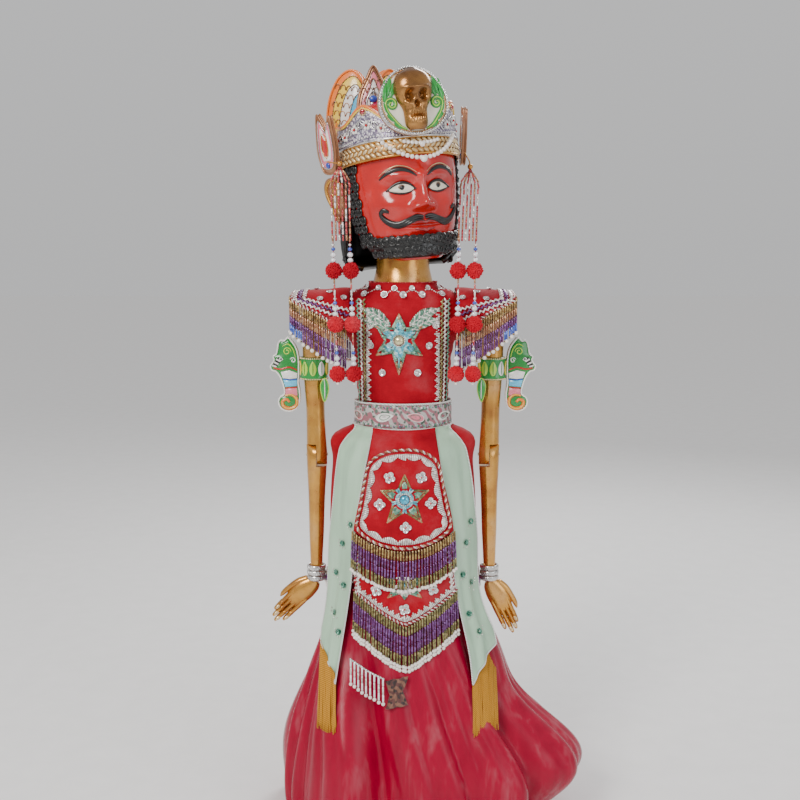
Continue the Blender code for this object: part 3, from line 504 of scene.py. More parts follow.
# ---------------------------------------------------------------- finishes
class Nodes:
    """A short way to wire a material's nodes. Every texture is in the object's own coordinates."""

    def __init__(self, name):
        self.material = bpy.data.materials.new(name)
        self.material.use_nodes = True
        self.tree = self.material.node_tree
        self.shader = self.tree.nodes["Principled BSDF"]
        self.where = self.tree.nodes.new("ShaderNodeTexCoord").outputs["Object"]

    def node(self, kind, settings=None, **inputs):
        made = self.tree.nodes.new(kind)
        for key, value in (settings or {}).items():
            setattr(made, key, value)
        for key, value in inputs.items():
            socket = made.inputs[key.replace("_", " ")]
            if isinstance(value, bpy.types.NodeSocket):
                self.tree.links.new(value, socket)
            else:
                socket.default_value = value
        return made

    def scaled(self, x, y, z):
        """The coordinates stretched, for grain and weave that run one way."""
        made = self.node("ShaderNodeMapping", Vector=self.where)
        made.inputs["Scale"].default_value = (x, y, z)
        return made.outputs["Vector"]

    def noise(self, scale, detail=3.0, rough=0.55, where=None):
        made = self.node("ShaderNodeTexNoise", Vector=where or self.where)
        made.inputs["Scale"].default_value = scale
        made.inputs["Detail"].default_value = detail
        made.inputs["Roughness"].default_value = rough
        return made.outputs["Fac"]

    def cells(self, scale, feature="F1", output="Distance"):
        made = self.node("ShaderNodeTexVoronoi", {"feature": feature}, Vector=self.where)
        made.inputs["Scale"].default_value = scale
        return made.outputs[output]

    def wave(self, scale, distortion=0.0, bands="X", where=None):
        made = self.node("ShaderNodeTexWave", {"bands_direction": bands}, Vector=where or self.where)
        made.inputs["Scale"].default_value = scale
        made.inputs["Distortion"].default_value = distortion
        return made.outputs["Fac"]

    def ramp(self, fac, stops):
        made = self.node("ShaderNodeValToRGB", Fac=fac)
        elements = made.color_ramp.elements
        while len(elements) < len(stops):
            elements.new(0.5)
        for element, (place, colour) in zip(elements, stops):
            element.position = place
            element.color = (*colour, 1) if hasattr(colour, "__len__") else (colour, colour, colour, 1)
        return made.outputs["Color"]

    def mix(self, fac, a, b):
        made = self.node("ShaderNodeMix", {"data_type": "RGBA"})
        for index, value in ((0, fac), (6, a), (7, b)):
            socket = made.inputs[index]
            if isinstance(value, bpy.types.NodeSocket):
                self.tree.links.new(value, socket)
            elif index == 0:
                socket.default_value = value
            else:
                socket.default_value = (*value, 1)
        return made.outputs[2]

    def colour(self, value):
        self.tree.links.new(value, self.shader.inputs["Base Color"])

    def rough(self, fac, low, high):
        """Roughness between two values by a texture."""
        made = self.node("ShaderNodeMapRange", Value=fac)
        made.inputs["To Min"].default_value = low
        made.inputs["To Max"].default_value = high
        self.tree.links.new(made.outputs["Result"], self.shader.inputs["Roughness"])

    def bump(self, fac, distance, strength):
        made = self.node("ShaderNodeBump", Height=fac)
        made.inputs["Distance"].default_value = distance
        made.inputs["Strength"].default_value = strength
        self.tree.links.new(made.outputs["Normal"], self.shader.inputs["Normal"])

    def set(self, **values):
        for key, value in values.items():
            self.shader.inputs[key.replace("_", " ")].default_value = value
        return self.material


def darker(colour, share):
    return tuple(c * share for c in colour)


def lighter(colour, share):
    return tuple(c + (1 - c) * share for c in colour)


def painted(name, colour, rough=0.3, coat=0.4, variation=0.75):
    """Hand-brushed lacquer: uneven colour, fine brush marks and small worn spots."""
    n = Nodes(name)
    patchy = n.noise(38, 4)
    base = n.ramp(patchy, [(0.30, darker(colour, variation)), (0.62, colour), (0.85, lighter(colour, 0.10))])
    marks = n.noise(160, 2, where=n.scaled(1, 1, 0.25))
    n.colour(n.mix(n.ramp(marks, [(0.45, 0.0), (0.75, 0.16)]), base, darker(colour, 0.6)))
    n.rough(marks, rough * 0.8, rough * 1.3)
    n.bump(marks, 0.00012, 0.5)
    return n.set(Coat_Weight=coat, Coat_Roughness=0.12)


def gilt(name, bright, deep, rough=0.28, metallic=0.75, bump=0.00016):
    """Gold paint on carved wood: brighter where it is rubbed, reddish where it lies thin."""
    n = Nodes(name)
    broad, fine = n.noise(22, 3), n.noise(190, 3)
    base = n.ramp(broad, [(0.28, deep), (0.50, bright), (0.78, lighter(bright, 0.14))])
    n.colour(n.mix(n.ramp(fine, [(0.50, 0.0), (0.80, 0.35)]), base, deep))
    n.rough(fine, rough * 0.75, rough * 1.35)
    n.bump(fine, bump, 0.6)
    return n.set(Metallic=metallic, Coat_Weight=0.25, Coat_Roughness=0.15)


def velvet(name, colour):
    """Short-pile velvet: a directionless nap with soft crushed patches and a pale sheen."""
    n = Nodes(name)
    crushed, nap = n.noise(26, 4, 0.6), n.noise(1700, 2)
    base = n.ramp(crushed, [(0.28, darker(colour, 0.62)), (0.52, colour), (0.80, lighter(colour, 0.06))])
    n.colour(n.mix(n.ramp(nap, [(0.35, 0.35), (0.65, 0.0)]), base, darker(colour, 0.45)))
    n.rough(nap, 0.78, 0.95)
    n.bump(nap, 0.0003, 0.55)
    tint = (*lighter(colour, 0.35), 1)
    return n.set(Sheen_Weight=0.22, Sheen_Roughness=0.35, Sheen_Tint=tint, Specular_IOR_Level=0.15)


def satin(name, colour, rough=0.30, sheen=0.4, weave=5200):
    """Satin: long floats that shine along the cloth, over a very fine weave."""
    n = Nodes(name)
    threads = n.wave(weave / 6, 0.6, "Z")
    slub = n.noise(60, 3, where=n.scaled(1, 1, 0.15))
    base = n.ramp(slub, [(0.30, darker(colour, 0.80)), (0.55, colour), (0.85, lighter(colour, 0.10))])
    n.colour(n.mix(n.ramp(threads, [(0.3, 0.10), (0.8, 0.0)]), base, darker(colour, 0.7)))
    n.rough(slub, rough * 0.85, rough * 1.25)
    n.bump(threads, 0.00005, 0.35)
    tint = (*lighter(colour, 0.5), 1)
    return n.set(Sheen_Weight=sheen, Sheen_Roughness=0.3, Sheen_Tint=tint, Anisotropic=0.35, Specular_IOR_Level=0.24)


def glass_bead(name, colours, rough=0.16, metallic=0.35, scale=420):
    """Lined glass beads: each bead takes its own shade, with a lighter rim where it catches light."""
    n = Nodes(name)
    own = n.cells(scale, output="Color")
    shade = n.node("ShaderNodeSeparateColor", Color=own).outputs["Red"]
    stops = [(k / max(len(colours) - 1, 1), c) for k, c in enumerate(colours)]
    streak = n.noise(900, 1)
    n.colour(n.mix(n.ramp(streak, [(0.4, 0.0), (0.7, 0.14)]), n.ramp(shade, stops), lighter(colours[-1], 0.2)))
    n.rough(streak, rough * 0.7, rough * 1.5)
    return n.set(Metallic=metallic, Coat_Weight=0.35, Coat_Roughness=0.06)


def pearly(name, colour):
    n = Nodes(name)
    lustre = n.noise(240, 2)
    n.colour(n.ramp(lustre, [(0.3, darker(colour, 0.86)), (0.55, colour), (0.8, (1.0, 0.93, 0.90))]))
    n.rough(lustre, 0.16, 0.30)
    return n.set(Coat_Weight=0.7, Coat_Roughness=0.1, Sheen_Weight=0.15)


def crystal(name, colour, rough=0.05):
    """A foil-backed crystal or sequin, with painted glints: each small cell lighter at its middle and darker at its
    edge.
    """
    n = Nodes(name)
    facet_glint = n.cells(700, output="Distance")
    # painted glints and painted shade: the colour is lighter at each cell's middle and darker towards its edges
    n.colour(n.ramp(facet_glint, [(0.0, lighter(colour, 0.5)), (0.35, colour), (0.9, darker(colour, 0.55))]))
    n.rough(facet_glint, rough, rough * 4)
    return n.set(Metallic=0.65, Coat_Weight=1.0, Coat_Roughness=0.03)


def metal(name, colour, rough=0.18):
    n = Nodes(name)
    fine = n.noise(260, 3)
    n.colour(n.ramp(fine, [(0.30, darker(colour, 0.62)), (0.55, colour), (0.8, lighter(colour, 0.3))]))
    n.rough(fine, rough * 0.7, rough * 1.8)
    n.bump(fine, 0.00006, 0.4)
    return n.set(Metallic=0.95)


def thread(name, colour, pitch=900, rough=0.55):
    """Twisted thread: slanting plies, with painted shade in the grooves between them and a faint painted highlight on
    their crests.
    """
    n = Nodes(name)
    ply_and_groove_shade = n.wave(pitch / 6, 0.4, "DIAGONAL")
    fuzz = n.noise(420, 3)
    # painted shade and painted highlight: the ply wave darkens the grooves between plies and lightens their crests a
    # little
    base = n.ramp(ply_and_groove_shade, [(0.15, darker(colour, 0.5)), (0.55, colour), (0.9, lighter(colour, 0.06))])
    n.colour(n.mix(n.ramp(fuzz, [(0.35, 0.3), (0.6, 0.0)]), base, darker(colour, 0.6)))
    n.rough(fuzz, rough * 0.8, rough * 1.2)
    n.bump(ply_and_groove_shade, 0.0002, 0.5)
    return n.set(Sheen_Weight=0.0, Specular_IOR_Level=0.25)


def wood(name, light, dark, rings=34):
    n = Nodes(name)
    grain = n.wave(rings, 7.0, "X", where=n.scaled(1, 1, 0.12))
    pores = n.noise(420, 3, where=n.scaled(1, 1, 0.06))
    base = n.ramp(grain, [(0.15, dark), (0.60, light), (0.95, lighter(light, 0.08))])
    n.colour(n.mix(n.ramp(pores, [(0.35, 0.55), (0.55, 0.0)]), base, darker(dark, 0.5)))
    n.rough(pores, 0.62, 0.42)
    n.bump(pores, 0.0002, 0.5)
    return n.set(Coat_Weight=0.12)


def brocade(name, ground, motif, dark):
    """Woven brocade: small curling figures of two colours on a silver ground, over a fine rib, with patches of painted
    shade.
    """
    n = Nodes(name)
    bend_shade = n.noise(150, 2)
    curls = n.wave(56, 9.0, "DIAGONAL")
    figures = n.ramp(curls, [(0.40, 0.0), (0.52, 1.0)])
    leaves = n.ramp(n.cells(260, "SMOOTH_F1"), [(0.28, 1.0), (0.36, 0.0)])
    base = n.mix(figures, ground, motif)
    base = n.mix(leaves, base, dark)
    # painted shade: random patches darken the ground as if the cloth bent there
    n.colour(n.mix(n.ramp(bend_shade, [(0.4, 0.0), (0.7, 0.3)]), base, darker(ground, 0.5)))
    rib = n.wave(900, 0.0, "Z")
    n.rough(rib, 0.40, 0.62)
    n.bump(rib, 0.0001, 0.5)
    return n.set(Sheen_Weight=0.25, Metallic=0.15)


def filigree(name, ground, line, gap):
    """Pierced and stamped silver leather: curling lines with dark ground between them."""
    n = Nodes(name)
    curls = n.wave(95, 11.0, "DIAGONAL")
    lines = n.ramp(curls, [(0.42, 0.0), (0.56, 1.0)])
    cells = n.ramp(n.cells(310, "DISTANCE_TO_EDGE"), [(0.04, 1.0), (0.12, 0.0)])
    base = n.mix(lines, ground, line)
    n.colour(n.mix(cells, base, gap))
    n.rough(curls, 0.22, 0.5)
    n.bump(lines, 0.0004, 0.7)
    return n.set(Metallic=0.45, Coat_Weight=0.3)


def pale_floor(name):
    n = Nodes(name)
    fine = n.noise(30, 2)
    n.colour(n.ramp(fine, [(0.3, (0.80, 0.79, 0.78)), (0.7, (0.83, 0.82, 0.81))]))
    return n.set(Roughness=0.9, Specular_IOR_Level=0.1)


CRIMSON = (0.40, 0.002, 0.014)
FINISH = {}
for make, rows in (
    (gilt, (
        ("gold", (0.62, 0.31, 0.055), (0.30, 0.09, 0.02), 0.24, 0.75),
        ("deep_gold", (0.50, 0.24, 0.05), (0.20, 0.06, 0.02), 0.30, 0.70),
        ("antique_gold", (0.46, 0.22, 0.06), (0.10, 0.035, 0.012), 0.24, 0.85),
        ("pale_gold", (0.80, 0.62, 0.34), (0.42, 0.26, 0.10), 0.30, 0.60),
        ("copper", (0.42, 0.19, 0.09), (0.16, 0.06, 0.03), 0.34, 0.60),
    )),
    (painted, (
        ("red", (0.52, 0.006, 0.004), 0.20, 0.6, 0.82),
        ("deep_red", (0.26, 0.006, 0.010), 0.25, 0.5),
        ("rose", (0.80, 0.20, 0.27), 0.30, 0.4, 0.85),
        ("black", (0.004, 0.004, 0.004), 0.30, 0.35),
        ("white", (0.84, 0.82, 0.78), 0.25, 0.5, 0.90),
        ("ivory", (0.80, 0.74, 0.60), 0.25, 0.5, 0.88),
        ("green", (0.008, 0.26, 0.035), 0.25, 0.6),
        ("leaf_green", (0.008, 0.30, 0.03), 0.25, 0.6),
        ("lime", (0.45, 0.70, 0.06), 0.28, 0.5),
        ("sky", (0.10, 0.52, 0.80), 0.25, 0.5),
        ("blue", (0.02, 0.06, 0.42), 0.25, 0.6),
        ("orange", (0.86, 0.20, 0.02), 0.28, 0.5, 0.85),
        ("yellow", (0.88, 0.58, 0.06), 0.28, 0.5, 0.88),
    )),
    (velvet, (
        ("velvet", CRIMSON),
        ("pompon", (0.62, 0.006, 0.025)),
    )),
    (satin, (
        ("satin", (0.33, 0.0, 0.026), 0.21, 0.0),
        ("mint", (0.40, 0.58, 0.42), 0.36, 0.2, 4200),
    )),
    (thread, (
        ("piping", (0.78, 0.80, 0.76), 1400),
        ("gold_thread", (0.62, 0.27, 0.0), 1500),
        ("red_thread", (0.34, 0.02, 0.03), 1300),
        ("cord", (0.62, 0.56, 0.44)),
    )),
    (brocade, (
        ("brocade", (0.46, 0.44, 0.42), (0.34, 0.10, 0.13), (0.05, 0.10, 0.07)),
        ("batik", (0.10, 0.03, 0.025), (0.22, 0.10, 0.06), (0.02, 0.01, 0.01)),
    )),
    (filigree, (
        ("filigree", (0.30, 0.29, 0.36), (0.74, 0.71, 0.76), (0.12, 0.07, 0.16)),
    )),
    (glass_bead, (
        ("silver_bead", [(0.42, 0.38, 0.36), (0.72, 0.68, 0.64), (0.88, 0.85, 0.80)]),
        ("green_bead", [(0.03, 0.12, 0.08), (0.08, 0.28, 0.18), (0.35, 0.45, 0.34)]),
        ("teal_bead", [(0.02, 0.22, 0.30), (0.06, 0.42, 0.52), (0.45, 0.68, 0.70)]),
        ("copper_bead", [(0.20, 0.07, 0.03), (0.40, 0.17, 0.08), (0.52, 0.32, 0.16)]),
        ("gold_bead", [(0.09, 0.045, 0.012), (0.25, 0.14, 0.035), (0.50, 0.34, 0.12)]),
        ("olive_bead", [(0.05, 0.05, 0.012), (0.16, 0.13, 0.03), (0.34, 0.28, 0.11)]),
        ("purple_bead", [(0.06, 0.004, 0.05), (0.12, 0.012, 0.13), (0.22, 0.09, 0.30)]),
        ("blue_bead", [(0.02, 0.04, 0.30), (0.05, 0.12, 0.55), (0.12, 0.20, 0.60)]),
        ("red_bead", [(0.25, 0.01, 0.02), (0.48, 0.03, 0.04), (0.60, 0.12, 0.10)]),
        ("white_bead", [(0.74, 0.74, 0.78), (0.86, 0.86, 0.88)], 0.12, 0.1),
    )),
    (pearly, (
        ("pearl", (0.86, 0.80, 0.74)),
    )),
    (crystal, (
        ("sequin", (0.80, 0.80, 0.80)),
        ("green_sequin", (0.02, 0.20, 0.12), 0.10),
        ("amber_gem", (0.78, 0.70, 0.38)),
        ("cyan_gem", (0.02, 0.48, 0.72)),
        ("red_gem", (0.50, 0.01, 0.03)),
    )),
    (metal, (
        ("silver", (0.72, 0.71, 0.70)),
    )),
    (wood, (
        ("dark_wood", (0.20, 0.085, 0.035), (0.075, 0.028, 0.012)),
        ("pale_wood", (0.60, 0.42, 0.24), (0.36, 0.22, 0.11), 48),
    )),
):
    for name, *values in rows:
        FINISH[name] = make(name, *values)


# ---------------------------------------------------------------- the costume's ground shape
GARMENT = (  # (height, half width, half depth)
    (0.0012, 0.1230, 0.1000),
    (0.018, 0.1275, 0.1040),
    (0.050, 0.1290, 0.1055),
    (0.082, 0.1245, 0.1020),
    (0.115, 0.1150, 0.0940),
    (0.150, 0.1025, 0.0840),
    (0.195, 0.0855, 0.0705),
    (0.240, 0.0760, 0.0625),
    (0.290, 0.0742, 0.0595),
    (0.340, 0.0725, 0.0560),
    (0.372, 0.0702, 0.0530),
    (0.390, 0.0670, 0.0500),
    (0.404, 0.0590, 0.0440),
    (0.4130, 0.0480, 0.0355),
    (0.440, 0.0465, 0.0345),
)
BODICE = (
    (0.437, 0.0453, 0.0333),
    (0.470, 0.0478, 0.0368),
    (0.498, 0.0523, 0.0393),
    (0.511, 0.0643, 0.0393),
    (0.522, 0.0738, 0.0388),
    (0.532, 0.0723, 0.0383),
    (0.541, 0.0623, 0.0378),
    (0.5503, 0.0463, 0.0368),
)
BELT_LOW, BELT_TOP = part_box("belt")[0].z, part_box("belt")[1].z


def billow(angle, z):
    """How much further the satin stands out on the puppet's left."""
    side = max(0.0, math.sin(angle + math.radians(8))) ** 2
    return side * (0.055 * hump(z, 0.068, 0.050) + 0.011 * hump(z, 0.185, 0.040))


def garment_point(angle, z, offset=0.0):
    w, d = curve_at(GARMENT, z)
    away = offset + billow(angle, z)
    return oval(w + away, d + away, angle, z)


def angle_at(x, z, offset=0.0):
    w = curve_at(GARMENT, z)[0] + offset
    return math.asin(max(-1.0, min(1.0, x / w)))


def side_edge(*points):
    """A panel's side edge through (z, x) points, as a function of z."""
    return lambda z: curve_at(points, z)


def cloth_rows(edges, top, hem, offset, across=36, down=44, ripple=None):
    """Rows of points on the garment between two side edges, from the top line to the hem line."""
    rows = []
    for r in range(down + 1):
        share = r / down
        row = []
        for k in range(across + 1):
            u = 2 * k / across - 1
            z = blend_of(top(u), hem(u), share)
            x = blend_of(edges[0](z), edges[1](z), k / across)
            lift = offset + (ripple(u, share) if ripple else 0.0)
            row.append(garment_point(angle_at(x, z, offset), z, lift))
        rows.append(row)
    return rows


# ---------------------------------------------------------------- beadwork
def bead_row(piece, kind, finish, path, spacing, size, normal, lift=0.0, closed=False, along=False):
    """Beads at equal distances along a path. along lays each bead's own Z in the path's direction."""
    for at, tangent in evenly(path, spacing, closed=closed):
        up = normal(at)
        piece.bead(kind, finish, at + up * lift, tangent if along else up, up if along else tangent, size)


def bugle_line(piece, finishes, start, end, cover, lift=0.0008, length=BUGLE[0], radius=BUGLE[1]):
    """Bugle beads end to end from start to end. finishes run from the start's to the end's."""
    start, end = Vector(start), Vector(end)
    count = max(1, round((end - start).length / (length + 0.0003)))
    ends = [cover.near(start.lerp(end, k / count), lift)[0] for k in range(count + 1)]
    for k, (a, b) in enumerate(zip(ends, ends[1:])):
        finish = finishes[min(len(finishes) - 1, k * len(finishes) // count)]
        middle, up = cover.near((a + b) / 2, lift)
        piece.bead("bugle", finish, middle, b - a, up, (radius, radius, (b - a).length * 0.93))


def rope(piece, path, normal, radius=0.0013, pitch=0.0042, finishes=("red_thread", "silver_bead"), closed=False):
    """A twisted rope edge: plump slanting turns laid one after the other."""
    for k, (at, tangent) in enumerate(evenly(path, pitch / 2, closed=closed)):
        up = normal(at)
        side = tangent.cross(up).normalized()
        slant = (tangent + side * 0.75).normalized()
        finish = finishes[k % len(finishes)]
        piece.bead("grain", finish, at + up * radius * 0.6, slant, up, (radius * 0.85, radius * 0.55, pitch * 0.52))


def star(piece, cover, centre, tips, valley, hub, gem, finishes, gem_size=0.0045, rays=11):
    """A beaded star: lines of bugles that fan from a gem to the edges of pointed petals."""
    cx, cz = centre
    count = len(tips)
    for k, (angle, reach) in enumerate(tips):
        here = Vector((math.sin(angle), math.cos(angle), 0)) * reach
        for side in (-1, 1):
            other = tips[(k + side) % count][0]
            gap = math.atan2(math.sin(other - angle), math.cos(other - angle)) / 2
            low = Vector((math.sin(angle + gap), math.cos(angle + gap), 0)) * valley
            for j in range(rays // 2 + 1):
                if j == 0 and side > 0:
                    continue
                share = j / (rays // 2)
                end = here.lerp(low, share)
                turn = angle + gap * share
                start = Vector((math.sin(turn), math.cos(turn), 0)) * hub
                a = cover.front(cx + start.x, cz + start.y)
                b = cover.front(cx + end.x, cz + end.y)
                bugle_line(piece, finishes, a, b, cover, length=0.0052)
    up = cover.front_normal(cx, cz)
    piece.bead("stone", gem, cover.front(cx, cz, 0.0006), up, UP, (gem_size, gem_size, gem_size * 0.8))
    ring = [
        cover.front(cx + (gem_size + SEED) * math.sin(a), cz + (gem_size + SEED) * math.cos(a), SEED * 0.7)
        for a in turns(18)
    ]
    bead_row(piece, "seed", "silver_bead", ring, SEED * 1.9, SEED * 0.9, cover.near_normal, closed=True)


def feather(piece, cover, path, width, finishes, gap):
    """A leaf of slanting bugles on each side of a midrib drawn on the cloth."""
    places = evenly(smooth_path([(x, z, 0) for x, z in path], 8), gap)
    for k, (at, tangent) in enumerate(places):
        share = k / max(len(places) - 1, 1)
        reach = width * max(0.25, math.sin(math.pi * min(1.0, 0.18 + share * 0.82)))
        across = Vector((-tangent.y, tangent.x, 0))
        for side in (-1, 1):
            end = at + across * side * reach + tangent * reach * 0.9
            a, b = cover.front(at.x, at.y), cover.front(end.x, end.y)
            finish = finishes[(k + (side > 0)) % len(finishes)]
            bugle_line(piece, [finish], a, b, cover, length=reach * 1.5, radius=0.0008)
        up = cover.front_normal(at.x, at.y)
        piece.bead("seed", "silver_bead", cover.front(at.x, at.y, SEED * 1.1), up, UP, SEED * 0.9)


def sequin(piece, at, normal, size=SEQUIN, finish="sequin", centre="silver_bead"):
    """A cupped sequin held by a seed bead."""
    piece.bead("sequin", finish, at + normal * 0.0003, normal, UP, size)
    piece.bead("seed", centre, at + normal * size * 0.28, normal, UP, size * 0.30)


def sequin_flower(piece, cover, x, z, turn=0.0, size=0.0028):
    for k in range(4):
        angle = turn + math.pi * k / 2
        px, pz = x + size * 1.05 * math.sin(angle), z + size * 1.05 * math.cos(angle)
        sequin(piece, cover.front(px, pz, 0.0004 * (k % 2)), cover.front_normal(px, pz), size)
    piece.bead("seed", "red_bead", cover.front(x, z, 0.0016), cover.front_normal(x, z), UP, 0.0012)


def teeth(piece, path, cover, inwards, lengths, spacing=0.0017):
    """Bugles that stand at right angles to an edge, so that their inner ends make a zigzag."""
    for k, (at, tangent) in enumerate(evenly(path, spacing)):
        across = cover.near_normal(at).cross(tangent).normalized()
        if across.dot(inwards(at)) < 0:
            across = -across
        end = at + across * lengths[k % len(lengths)]
        bugle_line(piece, ["silver_bead"], at, end, cover, length=0.009, radius=0.00078)


def chevrons(piece, normal, path, spacing, finish, lane, slope):
    """Short bugles that cross a line at a slant, each the other way from the one before."""
    for k, (at, tangent) in enumerate(evenly(path, spacing)):
        up = normal(at)
        lean = (tangent + up.cross(tangent) * (slope if (k + lane) % 2 else -slope)).normalized()
        piece.bead("bugle", finish, at + up * 0.0008, lean, up, (0.0009, 0.0009, 0.0050))


def strand(piece, start, beads, sway=Vector((0, 0, 0)), gap=0.0002):
    """Threaded beads that hang from a point: (kind, finish, radius, length) from the top down."""
    at = Vector(start)
    down = (Vector((0, 0, -1)) + sway).normalized()
    for kind, finish, radius, length in beads:
        at = at + down * (length / 2)
        scale = 1.0 if kind == "bugle" else 0.5
        piece.bead(kind, finish, at, down, FRONT, (radius, radius, length * scale))
        at = at + down * (length / 2 + gap)
    return at


def fringe_strand(random_source, bands, drop):
    """The beads of one fringe strand, stretched so that the strand is as long as asked."""
    total = sum(length for _, _, _, length in bands)
    scale = drop / (total + 0.0002 * len(bands))
    made = []
    for kind, finish, radius, length in bands:
        wobble = 1 + random_source.uniform(-0.04, 0.04)
        made.append((kind, finish, radius, length * scale * wobble if kind == "bugle" else length))
    return made


# ---------------------------------------------------------------- torso clothes
def build_bodice():
    rows = []
    columns = turns(96)
    low, high = BODICE[0][0], BODICE[-1][0]
    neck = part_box("neck")[1].x + 0.0012
    for z in steps(low, high - 0.0012, 42):
        w, d = curve_at(BODICE, z)
        pull = 0.0005 * math.sin(z * 420)
        rows.append([oval(w + pull * math.sin(3 * a), d + pull * math.cos(2 * a), a, z) for a in columns])
    w, d = curve_at(BODICE, high - 0.0012)
    for share in (0.08, 0.3, 0.65, 1.0):
        z = high + 0.0002 * math.sin(math.pi * share)
        rows.append([oval(blend_of(w, neck, share), blend_of(d, neck, share), a, z) for a in columns])
    return sew("velvet_bodice", "velvet", rows, 0.0010, True, True)


def build_collar(bodice):
    low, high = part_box("collar")
    inner = high.x - 0.0018
    rows = []
    for share in steps(0, 1, 9):
        z = blend_of(high.z, low.z - 0.0085, share)
        flare = share**1.6
        w = blend_of(inner + 0.0012, 0.0500, flare)
        d = blend_of(inner + 0.0012, 0.0385, flare)
        rows.append([oval(w, d, a, z) for a in turns(72)])
    cover = Cover(sew("collar", "velvet", rows, 0.0011, True), bodice)
    beads = Piece("collar_beads", "torso", "silver")
    zigzag = []
    for k in range(-7, 8):
        angle = math.radians(13.5) * k
        z = high.z - (0.0065 if k % 2 else 0.0125)
        zigzag.append(cover.round(angle, z, 0.0008))
        size = 0.0034 if k % 2 == 0 else 0.0029
        sequin(beads, cover.round(angle, z, 0.0011), cover.round_normal(angle, z), size)
    bead_row(beads, "seed", "silver_bead", zigzag, 0.0021, SEED * 0.85, cover.near_normal, 0.0004)
    rim = [cover.round(a, high.z - 0.0006, 0.0004) for a in turns(60)]
    bead_row(beads, "seed", "red_bead", rim, 0.0024, SEED * 0.7, cover.near_normal, closed=True)
    beads.link()


def build_chest_beads(cover):
    beads = Piece("chest_beads", "torso", "beads")
    tips = [(0, 0.0265), (1.02, 0.0270), (2.16, 0.0275), (math.pi, 0.0340), (-2.16, 0.0275), (-1.02, 0.0270)]
    shades = ["teal_bead", "teal_bead", "green_bead", "copper_bead"]
    star(beads, cover, (-0.004, 0.502), tips, 0.0145, 0.0058, "amber_gem", shades, 0.0048, 21)
    for side in (RIGHT, LEFT):
        sprays = (
            ((0.010, 0.5165), (0.022, 0.5265), (0.0375, 0.5325)),
            ((0.012, 0.5125), (0.024, 0.5195), (0.0360, 0.5225)),
        )
        for path in sprays:
            line = [(-0.003 + side * x, z) for x, z in path]
            feather(beads, cover, line, 0.0052, ["green_bead", "silver_bead", "green_bead"], 0.0019)
        edge = [(side * 0.0440, 0.540), (side * 0.0435, 0.500), (side * 0.0425, 0.440)]
        for lane, shift in enumerate((0.0, 0.0030, 0.0060)):
            line = [(x - side * shift, z) for x, z in edge]
            path = on_surface(cover, smooth_path([(x, z, 0) for x, z in line], 14), 0.0004)
            finish = ("green_bead", "silver_bead", "olive_bead")[lane]
            chevrons(beads, cover.near_normal, path, 0.0023, finish, lane, 0.8)
        path = on_surface(cover, [(side * 0.0358, z) for z in steps(0.532, 0.442, 12)], 0.0003)
        teeth(beads, path, cover, lambda p, s=side: Vector((-s, 0, 0)), (0.0022, 0.0042, 0.0062, 0.0042))
    for x, z in ((-0.031, 0.497), (-0.020, 0.470), (0.014, 0.470), (0.025, 0.497), (0.0315, 0.517), (-0.0315, 0.517)):
        sequin(beads, cover.front(x, z), cover.front_normal(x, z), 0.0036)
    beads.link()


def build_belt():
    columns = turns(120)
    rows = []
    for share in steps(0, 1, 9):
        z = blend_of(BELT_TOP, BELT_LOW, share)
        w, d = curve_at(GARMENT, z)
        proud = 0.0024 + 0.0009 * math.sin(math.pi * share)
        sag = 0.0022 * share
        rows.append([oval(w + proud, d + proud, a, z - sag * math.cos(a) + 0.0010) for a in columns])
    cover = Cover(sew("belt", "brocade", rows, 0.0012, True))
    trim = Piece("belt_trim", "torso", "brocade")
    for row, radius in ((rows[0], 0.0010), (rows[-1], 0.0011)):
        trim.add(tube([p + Vector((p.x, p.y, 0)).normalized() * 0.0002 for p in row], radius, 6, closed=True), "piping")
    for share in (0.14, 0.86):
        line = [cover.round(a, blend_of(BELT_TOP, BELT_LOW, share) - 0.0022 * math.cos(a) * share + 0.001) for a in columns]
        for k, (at, _) in enumerate(evenly(line, 0.0031, closed=True)):
            up = cover.near_normal(at)
            point = UP if share < 0.5 else -UP
            trim.bead("gem", ("filigree", "green_bead")[k % 2], at - up * 0.0002, up, point, (0.0013, 0.0012, 0.0007))
    middle = (BELT_TOP + BELT_LOW) / 2
    for k in range(8):
        angle = math.radians(45 * k + 18)
        paisley(trim, cover, angle, middle, 0.0092, 1 if k % 2 else -1, ("rose", "white")[k % 2])
    trim.link()


def paisley(piece, cover, angle, z, size, way, finish):
    """A teardrop with a curled tip, outlined in silver, with a seed at its heart."""
    outline = []
    for t in turns(25):
        fat = 0.52 * (1 - math.cos(t)) ** 0.75
        outline.append((way * (math.cos(t) * 0.95 + 0.25 * math.sin(t) ** 2), fat * math.sin(t) * 0.75 + 0.18 * math.cos(t)))
    radius = max(0.03, cover.round(angle, z).xy.length)

    def on(u, v, lift=0.0):
        return cover.round(angle + u / radius, z + v, lift)

    outline = [(u * size, v * size) for u, v in outline]
    piece.add(slab(outline, 0.0005, on), finish)
    for share, shade in ((1.0, "white"), (0.62, "green_bead")):
        path = [on(u * share, v * share, 0.0006) for u, v in outline]
        piece.add(tube(smooth_path(path, 2, True), 0.00034, 5, closed=True), shade)


